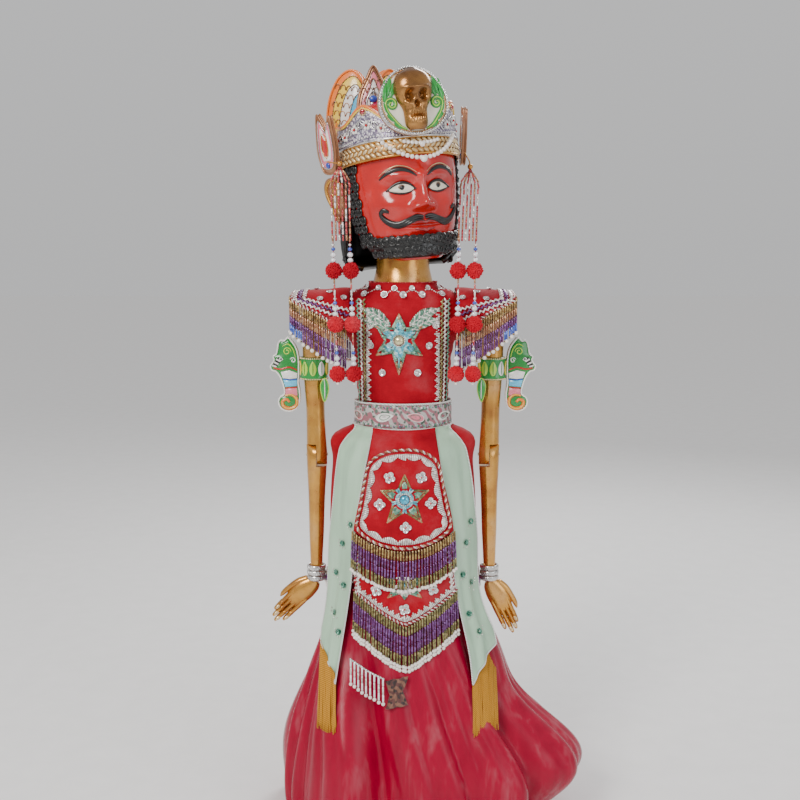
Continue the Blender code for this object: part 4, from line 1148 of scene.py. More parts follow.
# ---------------------------------------------------------------- skirt, flaps, aprons and sashes
def build_hip_flaps():
    """Velvet flaps that puff out under the belt and wrap the sides and the back."""
    spans = {
        "right_hip_flap": (-128, -40),
        "left_hip_flap": (40, 128),
        "back_flap": (131, 229),
    }
    for name, (first, last) in spans.items():
        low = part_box(name)[0]
        rows = []
        for r in range(41):
            share = r / 40
            z = blend_of(BELT_LOW + 0.001, low.z, share)
            puff = 0.0095 * hump(z, BELT_LOW - 0.013, 0.014) * smooth((BELT_LOW + 0.001 - z) / 0.007)
            row = []
            for a in steps(first, last, 34):
                turn = min(abs(a), 360 - abs(a))
                edge = smooth((turn - 60) / 24)
                crease = 0.0007 * math.sin(math.radians(a) * 17 + z * 40) * share
                row.append(garment_point(math.radians(a), z, 0.0016 + puff * edge + crease * edge))
            rows.append(row)
        cover = Cover(sew(name, "velvet", rows, 0.0012))
        trim = Piece(f"{name}_beads", "torso", "beads")
        edges = [[row[0] for row in rows[4:]], [row[-1] for row in rows[4:]]]
        for edge in edges:
            rope(trim, edge, cover.near_normal, 0.0014)
        hem = rows[-1]
        rope(trim, hem, cover.near_normal, 0.0014)
        source = random.Random(len(name))
        for at, _ in evenly(hem, 0.0030):
            out = Vector((at.x, at.y, 0)).normalized()
            if out.y < -0.42:
                continue
            bands = [("bugle", "gold_bead", 0.0009, 0.006), ("bugle", "purple_bead", 0.0009, 0.006),
                     ("pearl", "pearl", 0.0016, 0.0032)]
            strand(trim, at + out * 0.0018, fringe_strand(source, bands, 0.016), out * 0.12)
        for edge in edges:
            for at, _ in evenly(edge[6:], 0.0125):
                out = Vector((at.x, at.y, 0)).normalized()
                if out.y > -0.42:
                    trim.bead("pearl", "pearl", at + out * 0.0030, out, UP, PEARL)
        trim.link()


def apron(name, edges, top, hem, offset):
    def crown(u, share):
        return 0.0009 * (1 - u * u) * math.sin(math.pi * min(1, share * 1.1))

    rows = cloth_rows(edges, top, hem, offset, 40, 44, crown)
    return Cover(sew(name, "velvet", rows, 0.0012)), rows


def hanging_fringe(name, node, line, drops, bands, seed, pearls=1):
    """Strands of beads side by side under an edge, with pearls at their ends."""
    piece = Piece(f"{name}_strands", "torso", "beads", [node])
    source = random.Random(seed)
    places = evenly(line, 0.0029)
    for k, (at, _) in enumerate(places):
        share = k / (len(places) - 1)
        out = Vector((at.x, at.y, 0)).normalized()
        out.y = min(out.y, -0.3)
        sway = Vector((source.uniform(-0.025, 0.025), 0, 0)) + out * 0.05
        beads = fringe_strand(source, bands, drops(share))
        end = strand(piece, at + out * (0.0010 + source.uniform(0, 0.0006)), beads, sway)
        for _ in range(pearls):
            piece.bead("pearl", "pearl", end + Vector((0, 0, -PEARL * 0.9)), UP, None, PEARL * 0.95)
            end = end + Vector((0, 0, -PEARL * 1.9))
    piece.link()


def build_aprons():
    upper_edges = (
        side_edge((0.412, -0.0300), (0.370, -0.0375), (0.330, -0.0465), (0.312, -0.0490), (0.298, -0.0465)),
        side_edge((0.412, 0.0320), (0.370, 0.0390), (0.330, 0.0480), (0.312, 0.0500), (0.298, 0.0475)),
    )
    cover, rows = apron(
        "upper_apron", upper_edges, lambda u: BELT_LOW + 0.0010 - 0.0015 * (1 - u * u), lambda u: 0.2985 + 0.0165 * u * u,
        0.0082,
    )
    beads = Piece("upper_apron_beads", "torso", "beads")
    frame_points = [
        (0.002, 0.3965), (0.020, 0.3940), (0.0335, 0.3830), (0.0385, 0.3620), (0.0425, 0.3400), (0.0462, 0.3220),
        (0.0400, 0.3130), (0.0250, 0.3050), (0.001, 0.3010), (-0.0230, 0.3045), (-0.0385, 0.3125), (-0.0448, 0.3210),
        (-0.0415, 0.3400), (-0.0378, 0.3620), (-0.0325, 0.3830), (-0.0180, 0.3935),
    ]
    border(beads, cover, frame_points, (0.001, 0.349))
    tips = [(0, 0.0250), (1.22, 0.0255), (2.50, 0.0290), (-2.50, 0.0290), (-1.22, 0.0255)]
    shades = ["teal_bead", "green_bead", "olive_bead", "copper_bead"]
    star(beads, cover, (0.0015, 0.349), tips, 0.0125, 0.0056, "cyan_gem", shades, 0.0048, 25)
    flowers = ((-0.0130, 0.3705, 0.4), (0.0175, 0.3705, 0.4), (-0.0225, 0.3440, 0), (0.0265, 0.3450, 0), (0.0025, 0.3220, 0))
    for x, z, turn in flowers:
        sequin_flower(beads, cover, x, z, turn=turn)
    beads.link()

    bands = [("bugle", "gold_bead", 0.00105, 0.0072), ("bugle", "purple_bead", 0.00105, 0.0072),
             ("bugle", "purple_bead", 0.00105, 0.0068), ("bugle", "olive_bead", 0.00105, 0.0072)]
    hanging_fringe(
        "upper_fringe", "upper_bead_fringe", rows[-1], lambda s: 0.0385 - 0.0020 * abs(2 * s - 1), bands, 11
    )

    lower_edges = (
        side_edge((0.312, -0.0440), (0.268, -0.0480), (0.250, -0.0470), (0.220, -0.0420)),
        side_edge((0.312, 0.0470), (0.268, 0.0510), (0.250, 0.0520), (0.220, 0.0460)),
    )
    cover, rows = apron(
        "lower_apron", lower_edges, lambda u: 0.2925 + 0.014 * u * u, lambda u: 0.2225 + 0.030 * abs(u) ** 1.35, 0.0066
    )
    beads = Piece("lower_apron_beads", "torso", "beads")
    hem = rows[-3]
    rope(beads, hem, cover.near_normal, 0.0015)
    teeth(beads, [p + Vector((0, -0.0004, 0.0022)) for p in hem], cover, lambda p: UP,
          (0.0030, 0.0048, 0.0066, 0.0048))
    for column in (1, -2):
        side = [row[column] for row in rows[3:-3]]
        rope(beads, side, cover.near_normal, 0.0013)
        inward = Vector((1 if column == 1 else -1, 0, 0))
        teeth(beads, side, cover, lambda p, w=inward: w, (0.0030, 0.0045, 0.0030))
    tips = [(1.35, 0.0230), (2.25, 0.0220), (math.pi, 0.0150), (-2.25, 0.0220), (-1.35, 0.0230), (0, 0.0080)]
    star(beads, cover, (0.0015, 0.2650), tips, 0.0100, 0.0040, "cyan_gem", ["silver_bead", "green_bead", "copper_bead"],
         0.0020, 17)
    for x, z in ((-0.026, 0.258), (0.029, 0.259), (0.0015, 0.2405)):
        sequin_flower(beads, cover, x, z, turn=0.5)
    beads.link()
    bands = [("bugle", "olive_bead", 0.00110, 0.0074), ("bugle", "purple_bead", 0.00110, 0.0074),
             ("bugle", "purple_bead", 0.00110, 0.0070), ("bugle", "olive_bead", 0.00110, 0.0076)]
    line = [p + Vector((0, 0, 0.0015)) for p in rows[-1]]
    hanging_fringe(
        "lower_fringe", "lower_bead_fringe", line, lambda s: 0.0400 - 0.0015 * abs(2 * s - 1), bands, 12, 2
    )


def border(piece, cover, frame_points, centre):
    """The twisted rope round a panel, and the silver teeth inside it."""
    closed = smooth_path([(x, z, 0) for x, z in frame_points], 7, True)
    path = on_surface(cover, closed, 0.0002)
    rope(piece, path, cover.near_normal, 0.0016, 0.0046, ("red_thread", "copper_bead", "silver_bead"), closed=True)
    inner = []
    for p in closed:
        away = Vector((p.x - centre[0], p.y - centre[1], 0))
        inner.append((p.x - away.normalized().x * 0.0033, p.y - away.normalized().y * 0.0033))
    path = on_surface(cover, inner + inner[:1], 0.0002)
    middle = cover.front(*centre)
    wave = [0.0034 + 0.0036 * abs(math.sin(math.pi * k / 9)) for k in range(9)]
    teeth(piece, path, cover, lambda p: middle - p, wave, 0.00185)


def build_sashes():
    """Mint satin sashes that hang from the belt and end in thread fringes."""
    for side in (RIGHT, LEFT):
        name = f"{SIDE_NAME[side]}_sash"
        inner = side_edge((0.412, 0.0305), (0.340, 0.0435), (0.260, 0.0515), (0.163, 0.0655))
        outer = side_edge((0.412, 0.0475), (0.404, 0.0560), (0.392, 0.0630), (0.340, 0.0705), (0.240, 0.0800), (0.160, 0.0860))

        def outer_edge(z, line=outer):
            return min(line(z), 0.955 * (curve_at(GARMENT, z)[0] + 0.0042))

        def fold(u, share):
            soft = 0.0011 * math.sin(2.4 * u * math.pi + 1.0) * share + 0.0006 * math.sin(5 * u + 9 * share)
            return soft + 0.0012 * share * smooth((abs(u) - 0.75) / 0.25)

        edges = [lambda z, s=side, e=edge: s * e(z) for edge in (inner, outer_edge)]
        if side == RIGHT:
            edges.reverse()
        rows = cloth_rows(
            edges, lambda u: BELT_LOW + 0.0010, lambda u, s=side: 0.1785 + 0.0155 * u * s, 0.0056, 30, 90, fold
        )
        cover = Cover(sew(name, "mint", rows, 0.0009))
        trim = Piece(f"{name}_trim", "torso", "mint_satin")
        for column in (0, -1):
            trim.add(tube([row[column] for row in rows], 0.00075, 6), "piping")
        trim.add(tube(rows[-1], 0.00075, 6), "piping")
        motifs = ((0.300, 0.55), (0.2680, 0.35), (0.2580, 0.70), (0.2280, 0.45), (0.3200, 0.80), (0.2100, 0.75))
        for k, (z, share) in enumerate(motifs):
            x = blend_of(edges[0](z), edges[1](z), share)
            at, normal = cover.front(x, z), cover.front_normal(x, z)
            sequin(trim, at, normal, 0.0031, "green_sequin", "green_bead")
            for j in range(5):
                px = x + side * 0.0042 * math.sin(1.1 + j * 0.62)
                pz = z + 0.0052 * math.cos(1.1 + j * 0.62)
                trim.bead("seed", "silver_bead", cover.front(px, pz, 0.0006), normal, UP, SEED * 0.75)
        trim.link()
        fringe = Piece(f"{name}_fringe_threads", "torso", "gold_thread", [f"{name}_fringe"])
        source = random.Random(5 + side)
        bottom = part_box(f"{name}_fringe")[0].z
        for k, (at, _) in enumerate(evenly(rows[-1], 0.00105)):
            for layer in (0.0004, 0.0016):
                end_z = bottom + source.uniform(0.0, 0.008)
                lean = source.uniform(-0.03, 0.03)
                path = []
                for share in steps(0, 1, 9):
                    z = blend_of(at.z + 0.0008, end_z, share)
                    x = at.x + lean * (at.z - z) + math.sin(share * 3.0 + k * 0.9) * 0.0008 * share
                    rest = garment_point(angle_at(x, z, 0.006), z, 0.0056 + layer + 0.0012 * math.sin(share * 3))
                    path.append(Vector((x, rest.y, z)))
                fringe.add(tube(path, 0.00052, 5), "gold_thread")
        fringe.link()


def build_bead_row_and_tab():
    piece = Piece("bead_row_strands", "torso", "silver", ["silver_bead_row"])
    line = [garment_point(angle_at(x, z, 0.0075), z, 0.0105) for x, z in ((-0.050, 0.1895), (-0.034, 0.1815), (-0.019, 0.1755))]
    line = smooth_path(line, 8)
    bead_row(piece, "grain", "silver", line, 0.0028, (0.0012, 0.0012, 0.0017), lambda p: FRONT, along=True)
    source = random.Random(3)
    for at, _ in evenly(line, count=9):
        beads = [("bugle", "white_bead", 0.0010, 0.0062), ("bugle", "silver_bead", 0.0010, 0.0062),
                 ("bugle", "white_bead", 0.0010, 0.0062), ("pearl", "pearl", 0.0019, 0.0038)]
        strand(piece, at + Vector((0, -0.0006, 0)), fringe_strand(source, beads, 0.0265), Vector((0.01, -0.30, 0)))
    piece.link()
    rows = []
    for share in steps(0, 1, 15):
        row = []
        for across in steps(-1, 1, 17):
            pinch = 0.55 + 0.45 * abs(2 * share - 1)
            x = -0.0060 + 0.0105 * across * pinch
            z = blend_of(0.1740, 0.1480, share) + 0.0022 * across
            fold = 0.0011 * math.sin(across * 6 + share * 5)
            row.append(garment_point(angle_at(x, z), z, 0.0052 + fold))
        rows.append(row)
    sew("batik_tab", "batik", rows, 0.0009)


# ---------------------------------------------------------------- the satin skirt
FOLDS = ((5, 0.4, 0.80), (9, 2.1, 1.0), (14, 4.0, 0.55), (23, 1.2, 0.20))


def skirt_fold(angle, z):
    """Soft hanging folds, round on the outside and creased between, deeper towards the hem."""
    low = smooth((0.262 - z) / 0.19)
    drift = 0.5 * noise.noise(Vector((math.cos(angle) * 1.4, math.sin(angle) * 1.4, z * 7)))
    total = 0.0
    for count, phase, weight in FOLDS:
        wave = abs(math.sin((angle * count + phase + drift * count * 0.5) / 2 + z * (3.0 + count * 0.25)))
        total += weight * (wave**0.75 - 0.76)
    fine = noise.noise(Vector((math.cos(angle) * 5, math.sin(angle) * 5, z * 16))) * 0.0014
    depth = total * 0.0200 * low + fine * (0.3 + low)
    inner = blend_of(0.0910, 0.0500, smooth((z - 0.028) / 0.04))
    room = max(0.002, garment_point(angle, z).xy.length - inner)
    depth += 0.0030 * smooth((0.150 - z) / 0.05)
    return depth if depth > 0 else -room * (1 - math.exp(depth / room))


def build_skirt():
    low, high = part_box("satin_skirt")
    rows = []
    for share in steps(0, 1, 111):
        z = blend_of(high.z, low.z, share)
        inwards = 0.0012 + 0.0035 * smooth((z - 0.20) / 0.05)
        rows.append([garment_point(a, z, skirt_fold(a, z) - inwards) for a in turns(288)])
    sew("satin_skirt", "satin", rows, 0.0009, True)


# ---------------------------------------------------------------- shoulders
SHOULDER_Z, ARM_X = 0.522, 0.0915
ELBOW_Z, ELBOW_X = 0.382, 0.0880
WRIST_Z, WRIST_X = 0.249, 0.0900


def arm_centre(z):
    if z >= ELBOW_Z:
        return ELBOW_X + (ARM_X - ELBOW_X) * (z - ELBOW_Z) / (SHOULDER_Z - ELBOW_Z)
    return ELBOW_X + (WRIST_X - ELBOW_X) * (ELBOW_Z - z) / (ELBOW_Z - WRIST_Z)


def cap_point(side, across, out, lift=0.0):
    """A point on the sleeve cap: across runs from front to back, and out from the neck to the arm."""
    ridge = 0.5505 - 0.0050 * out * out + lift
    edge = 0.5100 + 0.0300 * out + lift
    turn = abs(across) * math.pi / 2
    z = edge + (ridge - edge) * math.cos(turn) ** 0.8
    y = math.copysign((0.0400 - 0.0045 * out + lift) * math.sin(turn), across)
    return Vector((side * (0.0525 + 0.0570 * out), y, z))


def build_sleeve(side):
    name = f"{SIDE_NAME[side]}_sleeve"
    rows = []
    for across in steps(-1, 1, 49):
        row = []
        for out in steps(0, 1, 33):
            soft = 0.0005 * math.sin(out * 11 + across * 5)
            row.append(cap_point(side, across, out, 0.0014 + soft))
        rows.append(row if side == RIGHT else list(reversed(row)))
    cover = Cover(sew(f"{name}_cap", "velvet", rows, 0.0012))
    centre = Vector((side * 0.08, 0, 0.51))

    def outwards(p):
        normal = cover.near_normal(p)
        return normal if normal.dot(p - centre) > 0 else -normal

    trim = Piece(f"{name}_beads", "torso", "beads")

    def round_cap(reach, outs, far, acrosses, lift=0.0016):
        """A line out along the cap's front, across its end and back along its rear."""
        line = [cap_point(side, -reach, out, lift) for out in outs]
        line += [cap_point(side, across, far, lift) for across in acrosses]
        return line + [cap_point(side, reach, out, lift) for out in reversed(outs)]

    rope(trim, round_cap(1, steps(0.02, 0.97, 14), 0.98, steps(-0.92, 0.92, 26)), outwards, 0.0015)
    for lane, (reach, finish) in enumerate(((0.90, "silver_bead"), (0.82, "purple_bead"), (0.74, "silver_bead"))):
        inner = round_cap(reach, steps(0.03, reach, 12), reach + 0.03, steps(-reach, reach, 22))
        chevrons(trim, outwards, smooth_path(inner, 3), 0.0024, finish, lane, 0.9)
    for across, out in ((-0.35, 0.35), (0.35, 0.35), (-0.5, 0.1), (0.0, 0.60), (-0.62, 0.50), (0.62, 0.50), (0.5, 0.1)):
        at = cap_point(side, across, out, 0.0016)
        sequin(trim, at, outwards(at), 0.0032)
    trim.link()

    fringe = Piece(f"{name}_fringe_strands", "torso", "beads", [f"{name}_fringe"])
    source = random.Random(21 + side)
    outs = steps(0.06, 1, 12)
    line = round_cap(1, outs, 1.0, (-0.8, -0.55, -0.3, 0, 0.3, 0.55, 0.8), 0.0022)
    for k in range(len(line)):
        beyond = 0.0010 if len(outs) <= k < len(line) - len(outs) else 0.0
        line[k] = line[k] + Vector((side * beyond, 0, -0.0010))
    for k, (at, _) in enumerate(evenly(line, 0.0026)):
        out = max(0.0, (abs(at.x) - 0.0525) / 0.0570)
        low = 0.4735 + 0.0350 * min(out, 1.05) ** 1.4
        outer = "blue_bead" if out > 0.8 else "purple_bead"
        bands = [("bugle", "gold_bead", 0.0010, 0.0075), ("bugle", "copper_bead", 0.0010, 0.0070),
                 ("bugle", "purple_bead", 0.0010, 0.0072), ("bugle", outer, 0.0010, 0.0072)]
        if at.z - low < 0.033:
            bands = bands[1:]
        end = strand(fringe, at, fringe_strand(source, bands, at.z - low - 0.0015),
                     Vector((source.uniform(-0.02, 0.02), source.uniform(-0.02, 0.02), 0)))
        if k % 2 == 0:
            fringe.bead("pearl", "pearl", end + Vector((0, 0, -PEARL * 0.9)), UP, None, PEARL)
        else:
            fringe.bead("seed", "gold_bead", end + Vector((0, 0, -SEED)), UP, None, SEED)
    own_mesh(fringe.link())


# ---------------------------------------------------------------- arms
UPPER_ARM = (  # (height, half width, half depth)
    (0.5305, 0.0035, 0.0035),
    (0.5285, 0.0075, 0.0080),
    (0.522, 0.0098, 0.0105),
    (0.500, 0.0108, 0.0118),
    (0.462, 0.0106, 0.0114),
    (0.430, 0.0094, 0.0100),
    (0.402, 0.0098, 0.0103),
    (0.386, 0.0105, 0.0105),
)
FOREARM = (
    (0.249, 0.0062, 0.0062),
    (0.272, 0.0064, 0.0068),
    (0.300, 0.0076, 0.0080),
    (0.340, 0.0086, 0.0090),
    (0.362, 0.0098, 0.0100),
    (0.378, 0.0105, 0.0105),
)
ELBOW_RADIUS = 0.0105


def build_arm_wood(side):
    """The upper arm and forearm, halved where they lap at the elbow's round end."""
    name = SIDE_NAME[side]
    step = ELBOW_RADIUS + 0.0010

    def ring(z, w, d, keep):
        row = []
        for a in turns(44):
            out = w * math.sin(a)
            if keep == "inner":
                out = min(out, -0.0003)
            elif keep == "outer":
                out = max(out, 0.0003)
            row.append(Vector((side * (arm_centre(z) + out), -d * math.cos(a), z)))
        return row if side == LEFT else list(reversed(row))

    def rounded(sign):
        for degrees in (0, 15, 30, 45, 58, 70, 80, 87):
            rise = ELBOW_RADIUS * math.sin(math.radians(degrees))
            yield ELBOW_Z + sign * rise, 0.0105, ELBOW_RADIUS * math.cos(math.radians(degrees))

    upper = [ring(z, *curve_at(UPPER_ARM, z), None) for z in steps(0.5305, ELBOW_Z + step, 56)]
    upper += [ring(z, *curve_at(UPPER_ARM, z), "inner") for z in steps(ELBOW_Z + step, ELBOW_Z + 0.004, 5)]
    upper += [ring(z, w, d, "inner") for z, w, d in rounded(-1)]
    piece = Piece(f"{name}_arm_wood", f"{name}_upper_arm", "gold_paint", [f"{name}_upper_arm"])
    piece.add(skin(upper, closed=True, capped=True), "gold")
    sharpen(piece.link(), 50)
    lower = [ring(z, w, d, "outer") for z, w, d in reversed(list(rounded(1)))]
    lower += [ring(z, *curve_at(FOREARM, z), "outer") for z in steps(ELBOW_Z - 0.004, ELBOW_Z - step, 5)]
    lower += [ring(z, *curve_at(FOREARM, z), None) for z in steps(ELBOW_Z - step, WRIST_Z, 56)]
    piece = Piece(f"{name}_forearm_wood", f"{name}_forearm", "gold_paint", [f"{name}_forearm"])
    piece.add(skin(lower, closed=True, capped=True), "gold")
    sharpen(piece.link(), 50)


def build_neck():
    profile = [(0.0077, 0.5486), (0.0290, 0.5486), (0.0300, 0.5500), (0.0300, 0.5575), (0.0284, 0.5640), (0.0268, 0.5710),
               (0.0263, 0.5760), (0.0264, 0.5830), (0.0268, 0.5900), (0.0275, 0.6030), (0.0270, 0.6038), (0.0077, 0.6038)]
    piece = Piece("turned_neck", "neck", "gold_paint", ["neck"])
    piece.add(turned(profile, 72, closed=True), "gold")
    sharpen(piece.link(), 45)


# ---------------------------------------------------------------- hands, bangles and armlets
def build_hand(side):
    """A flat carved hand: a rounded palm, four long fingers and a thumb along its inner edge."""
    name = SIDE_NAME[side]
    lean = {RIGHT: math.radians(50), LEFT: math.radians(29)}[side]
    place = Matrix.Translation((side * WRIST_X, 0, WRIST_Z - 0.0004))
    place = place @ Matrix.Rotation(-side * lean, 4, "Y") @ Matrix.Translation((0, 0, 0.0050))
    piece = Piece(f"{name}_carved_hand", f"{name}_forearm", "gold_paint", [f"{name}_hand"])

    def loft(sections, finish="gold"):
        rows = []
        for u, v, w, d in smooth_sections(sections, 5):
            row = []
            for a in turns(24):
                row.append(place @ Vector((side * (u + w * math.sin(a)), -d * math.cos(a), v)))
            rows.append(row if side == LEFT else list(reversed(row)))
        piece.add(skin(rows, closed=True, capped=True), finish)

    loft([(0, -0.0052, 0.0056, 0.0046), (0.0, -0.010, 0.0088, 0.0050), (0.0004, -0.0200, 0.0112, 0.0054),
          (0.0002, -0.0300, 0.0110, 0.0050), (-0.0004, -0.0390, 0.0088, 0.0038), (-0.0006, -0.0420, 0.0050, 0.0022)])
    fingers = ((-0.0082, -0.0100, 0.0600), (-0.0031, -0.0048, 0.0672), (0.0021, 0.0004, 0.0650), (0.0070, 0.0046, 0.0590))
    for start, end, reach in fingers:
        sections = []
        for share, size in ((0, 0.9), (0.3, 1.0), (0.62, 0.92), (0.66, 1.0), (0.9, 0.78), (0.98, 0.5), (1.0, 0.15)):
            v = blend_of(-0.0250, -reach, share)
            sections.append((blend_of(start, end, share), v, 0.00275 * size, 0.0042 * size))
        loft(sections)
        tip = place @ Vector((side * end, -0.0036, -reach + 0.0058))
        nail = (place.to_3x3() @ Vector((0, -1, 0.25))).normalized()
        piece.bead("stone", "pale_gold", tip, nail, place.to_3x3() @ Vector((0, 0, 1)), (0.0030, 0.0017, 0.0010))
    loft([(0.0075, -0.0100, 0.0034, 0.0036), (0.0108, -0.0190, 0.0036, 0.0038), (0.0122, -0.0300, 0.0030, 0.0034),
          (0.0121, -0.0400, 0.0025, 0.0030), (0.0112, -0.0450, 0.0008, 0.0010)])
    piece.link()


def build_bangles(side):
    """Three silver rings with a beaded edge, which slide on the wrist."""
    name = f"{SIDE_NAME[side]}_bangles"
    piece = Piece(f"{name}_rings", name, "silver", [name])
    centre = Vector((side * (WRIST_X - 0.0002), 0, 0))
    for k in range(3):
        middle = WRIST_Z + 0.0004 + 0.0056 * (k + 0.5)
        profile = [(0.0086 + 0.0011 * math.cos(a), middle + 0.0026 * math.sin(a)) for a in turns(14)]
        piece.add(turned(profile, 40, closed=True), "silver", Matrix.Translation(centre))
        for j in range(26):
            a = 2 * math.pi * (j + 0.5 * (k % 2)) / 26
            out = oval(1, 1, a, 0)
            piece.bead("grain", "silver", centre + out * 0.0094 + UP * middle, UP + out.cross(UP) * 0.5, out,
                       (0.0005, 0.0007, 0.0022))
    piece.link()


def stroke(piece, on, path, radius, finish, lift=0.0, flat=0.75, count=5, taper=0.0, closed=False, sides=7):
    """A raised brush-like line on a drawing surface. taper is how much thinner its ends are."""
    line = smooth_path([(u, v, 0) for u, v in path], count, closed)
    points = [on(p.x, p.y, lift) for p in line]
    a, b = on(line[0].x, line[0].y, 0), on(line[0].x, line[0].y, 0.01)
    normal = (b - a).normalized()

    def size(share):
        return radius * (1 - taper * abs(2 * share - 1) ** 2)

    piece.add(tube(points, size, sides, closed, flat, normal), finish)


def curl(u, v, start, radius, turns=1.3, way=1, shrink=0.78, count=14):
    """A spiral's points from its outer end inwards. start is the angle in degrees of its outer end."""
    made = []
    for k in range(count + 1):
        share = k / count
        angle = math.radians(start) + way * 2 * math.pi * turns * share
        r = radius * (1 - shrink * share)
        made.append((u + r * math.cos(angle), v + r * math.sin(angle)))
    return made


def build_armlet(side):
    """The cuff with its leaves, and the crested serpent head that stands out from it."""
    name = f"{SIDE_NAME[side]}_armlet"
    body = f"{SIDE_NAME[side]}_upper_arm"
    middle = 0.471
    centre = Vector((side * arm_centre(middle), 0, 0))
    cuff = Piece(f"{name}_leaf_cuff", body, "green_paint", [f"{name}_cuff"])
    profile = [(0.0122, 0.4600), (0.0134, 0.4596), (0.0143, 0.4612), (0.0139, 0.4630), (0.0141, 0.4710),
               (0.0139, 0.4790), (0.0143, 0.4808), (0.0134, 0.4824), (0.0122, 0.4820)]
    cuff.add(turned(profile, 48, closed=True), "green", Matrix.Translation(centre))
    for k in range(10):
        turn = 2 * math.pi * k / 10

        def on(u, v, lift=0.0, turn=turn):
            a = turn + u / 0.0140
            return centre + oval(0.0140 + lift, 0.0140 + lift, a, middle + v)

        leaf = [(0, 0.0078), (0.0030, 0.0030), (0.0034, -0.0020), (0.0014, -0.0064), (-0.0014, -0.0064),
                (-0.0034, -0.0020), (-0.0030, 0.0030)]
        leaf = outline_through(leaf, 3)
        cuff.add(slab(leaf, 0.0009, on), ("lime", "white", "yellow")[k % 3])
        stroke(cuff, on, [(0, -0.0055), (0, 0.0060)], 0.0004, "green", 0.0010)
    for z in (0.4606, 0.4814):
        ring = [centre + oval(0.0140, 0.0140, a, z) for a in turns(40)]
        bead_row(cuff, "seed", "pale_gold", ring, 0.0021, 0.0009, lambda p: (p - centre).normalized(), closed=True)
    cuff.link()

    plate = Piece(f"{name}_serpent", body, "green_paint", [f"{name}_plate"])
    outline = [
        (0.1056, 0.4640), (0.1056, 0.4810), (0.1080, 0.4915), (0.1125, 0.4985), (0.1165, 0.5022), (0.1190, 0.4985),
        (0.1235, 0.4990), (0.1262, 0.4940), (0.1272, 0.4860), (0.1310, 0.4830), (0.1300, 0.4780), (0.1338, 0.4740),
        (0.1322, 0.4690), (0.1275, 0.4672), (0.1232, 0.4600), (0.1202, 0.4500), (0.1204, 0.4440), (0.1240, 0.4420),
        (0.1262, 0.4370), (0.1235, 0.4300), (0.1160, 0.4272), (0.1085, 0.4300), (0.1052, 0.4370), (0.1048, 0.4460),
        (0.1062, 0.4560),
    ]
    outline = outline_through(outline, 4)

    for face in (-1, 1):
        plate.add(slab(outline, 0.0038, flat_face(Matrix(), side, face, 0.0002), 0.0004), "green")
        top = flat_face(Matrix(), side, face, 0.0042)
        stroke(plate, top, outline[::3], 0.0008, "white", -0.0002, closed=True, count=3)
        stroke(plate, top, [(0.1085, 0.4820), (0.1110, 0.4905), (0.1160, 0.4955), (0.1215, 0.4930)], 0.0007, "lime", taper=0.5)
        stroke(plate, top, curl(0.1170, 0.4880, 180, 0.0042, 1.4, -1), 0.0007, "lime", taper=0.3)
        stroke(plate, top, curl(0.1110, 0.4790, 20, 0.0030, 1.2, 1), 0.0006, "white", taper=0.3)
        for k in range(6):
            u = 0.1262 + 0.0010 * k
            shade = ("black", "white")[k % 2]
            stroke(plate, top, [(u - 0.0035, 0.4790 - 0.0013 * k), (u + 0.0006, 0.4818 - 0.0016 * k)], 0.0009, shade, 0.0001)
        plate.add(slab([(0.1206, 0.4800), (0.1230, 0.4826), (0.1254, 0.4806), (0.1232, 0.4780)], 0.0008, top), "white")
        plate.bead("stone", "black", top(0.1230, 0.4803, 0.0006), Vector((0, face, 0)), UP, (0.0011, 0.0011, 0.0008))
        stroke(plate, top, [(0.1070, 0.4690), (0.1150, 0.4720), (0.1240, 0.4700), (0.1310, 0.4715)], 0.0010, "red", taper=0.4)
        plate.add(slab([(0.1068, 0.4660), (0.1150, 0.4690), (0.1235, 0.4672), (0.1215, 0.4610), (0.1150, 0.4600),
                        (0.1072, 0.4610)], 0.0007, top), "white")
        plate.add(slab([(0.1072, 0.4590), (0.1150, 0.4585), (0.1212, 0.4595), (0.1192, 0.4520), (0.1074, 0.4530)],
                       0.0007, top), "sky")
        plate.add(slab([(0.1074, 0.4510), (0.1190, 0.4500), (0.1190, 0.4440), (0.1068, 0.4430)], 0.0007, top), "rose")
        stroke(plate, top, [(0.1065, 0.4600), (0.1150, 0.4592), (0.1215, 0.4602)], 0.0006, "blue")
        stroke(plate, top, [(0.1068, 0.4518), (0.1190, 0.4508)], 0.0006, "red")
        tail = [(0.1196, 0.4432), (0.1130, 0.4440), (0.1080, 0.4400), (0.1080, 0.4335), (0.1140, 0.4300), (0.1205, 0.4318),
                (0.1222, 0.4370), (0.1180, 0.4392), (0.1150, 0.4365)]
        stroke(plate, top, tail, 0.0019, "orange", 0.0, 0.7, taper=0.35)
        stroke(plate, top, tail[:-2], 0.0006, "yellow", 0.0014, taper=0.4)
    # a small leaf that hangs inside the cuff
    def inner(u, v, lift=0.0):
        return Vector((side * (0.0785 + u), -0.0125 - lift, 0.4500 + v))

    leaf = [(0, 0.0120), (0.0042, 0.0060), (0.0036, -0.0030), (0.0004, -0.0120), (-0.0034, -0.0030), (-0.0036, 0.0060)]
    leaf = outline_through(leaf, 4)
    plate.add(slab(leaf, 0.0016, inner, 0.0003), "leaf_green")
    stroke(plate, inner, leaf[::2], 0.0005, "lime", 0.0012, closed=True, count=2)
    stroke(plate, inner, [(0, 0.0100), (0, -0.0090)], 0.0005, "white", 0.0018, taper=0.6)
    plate.link()


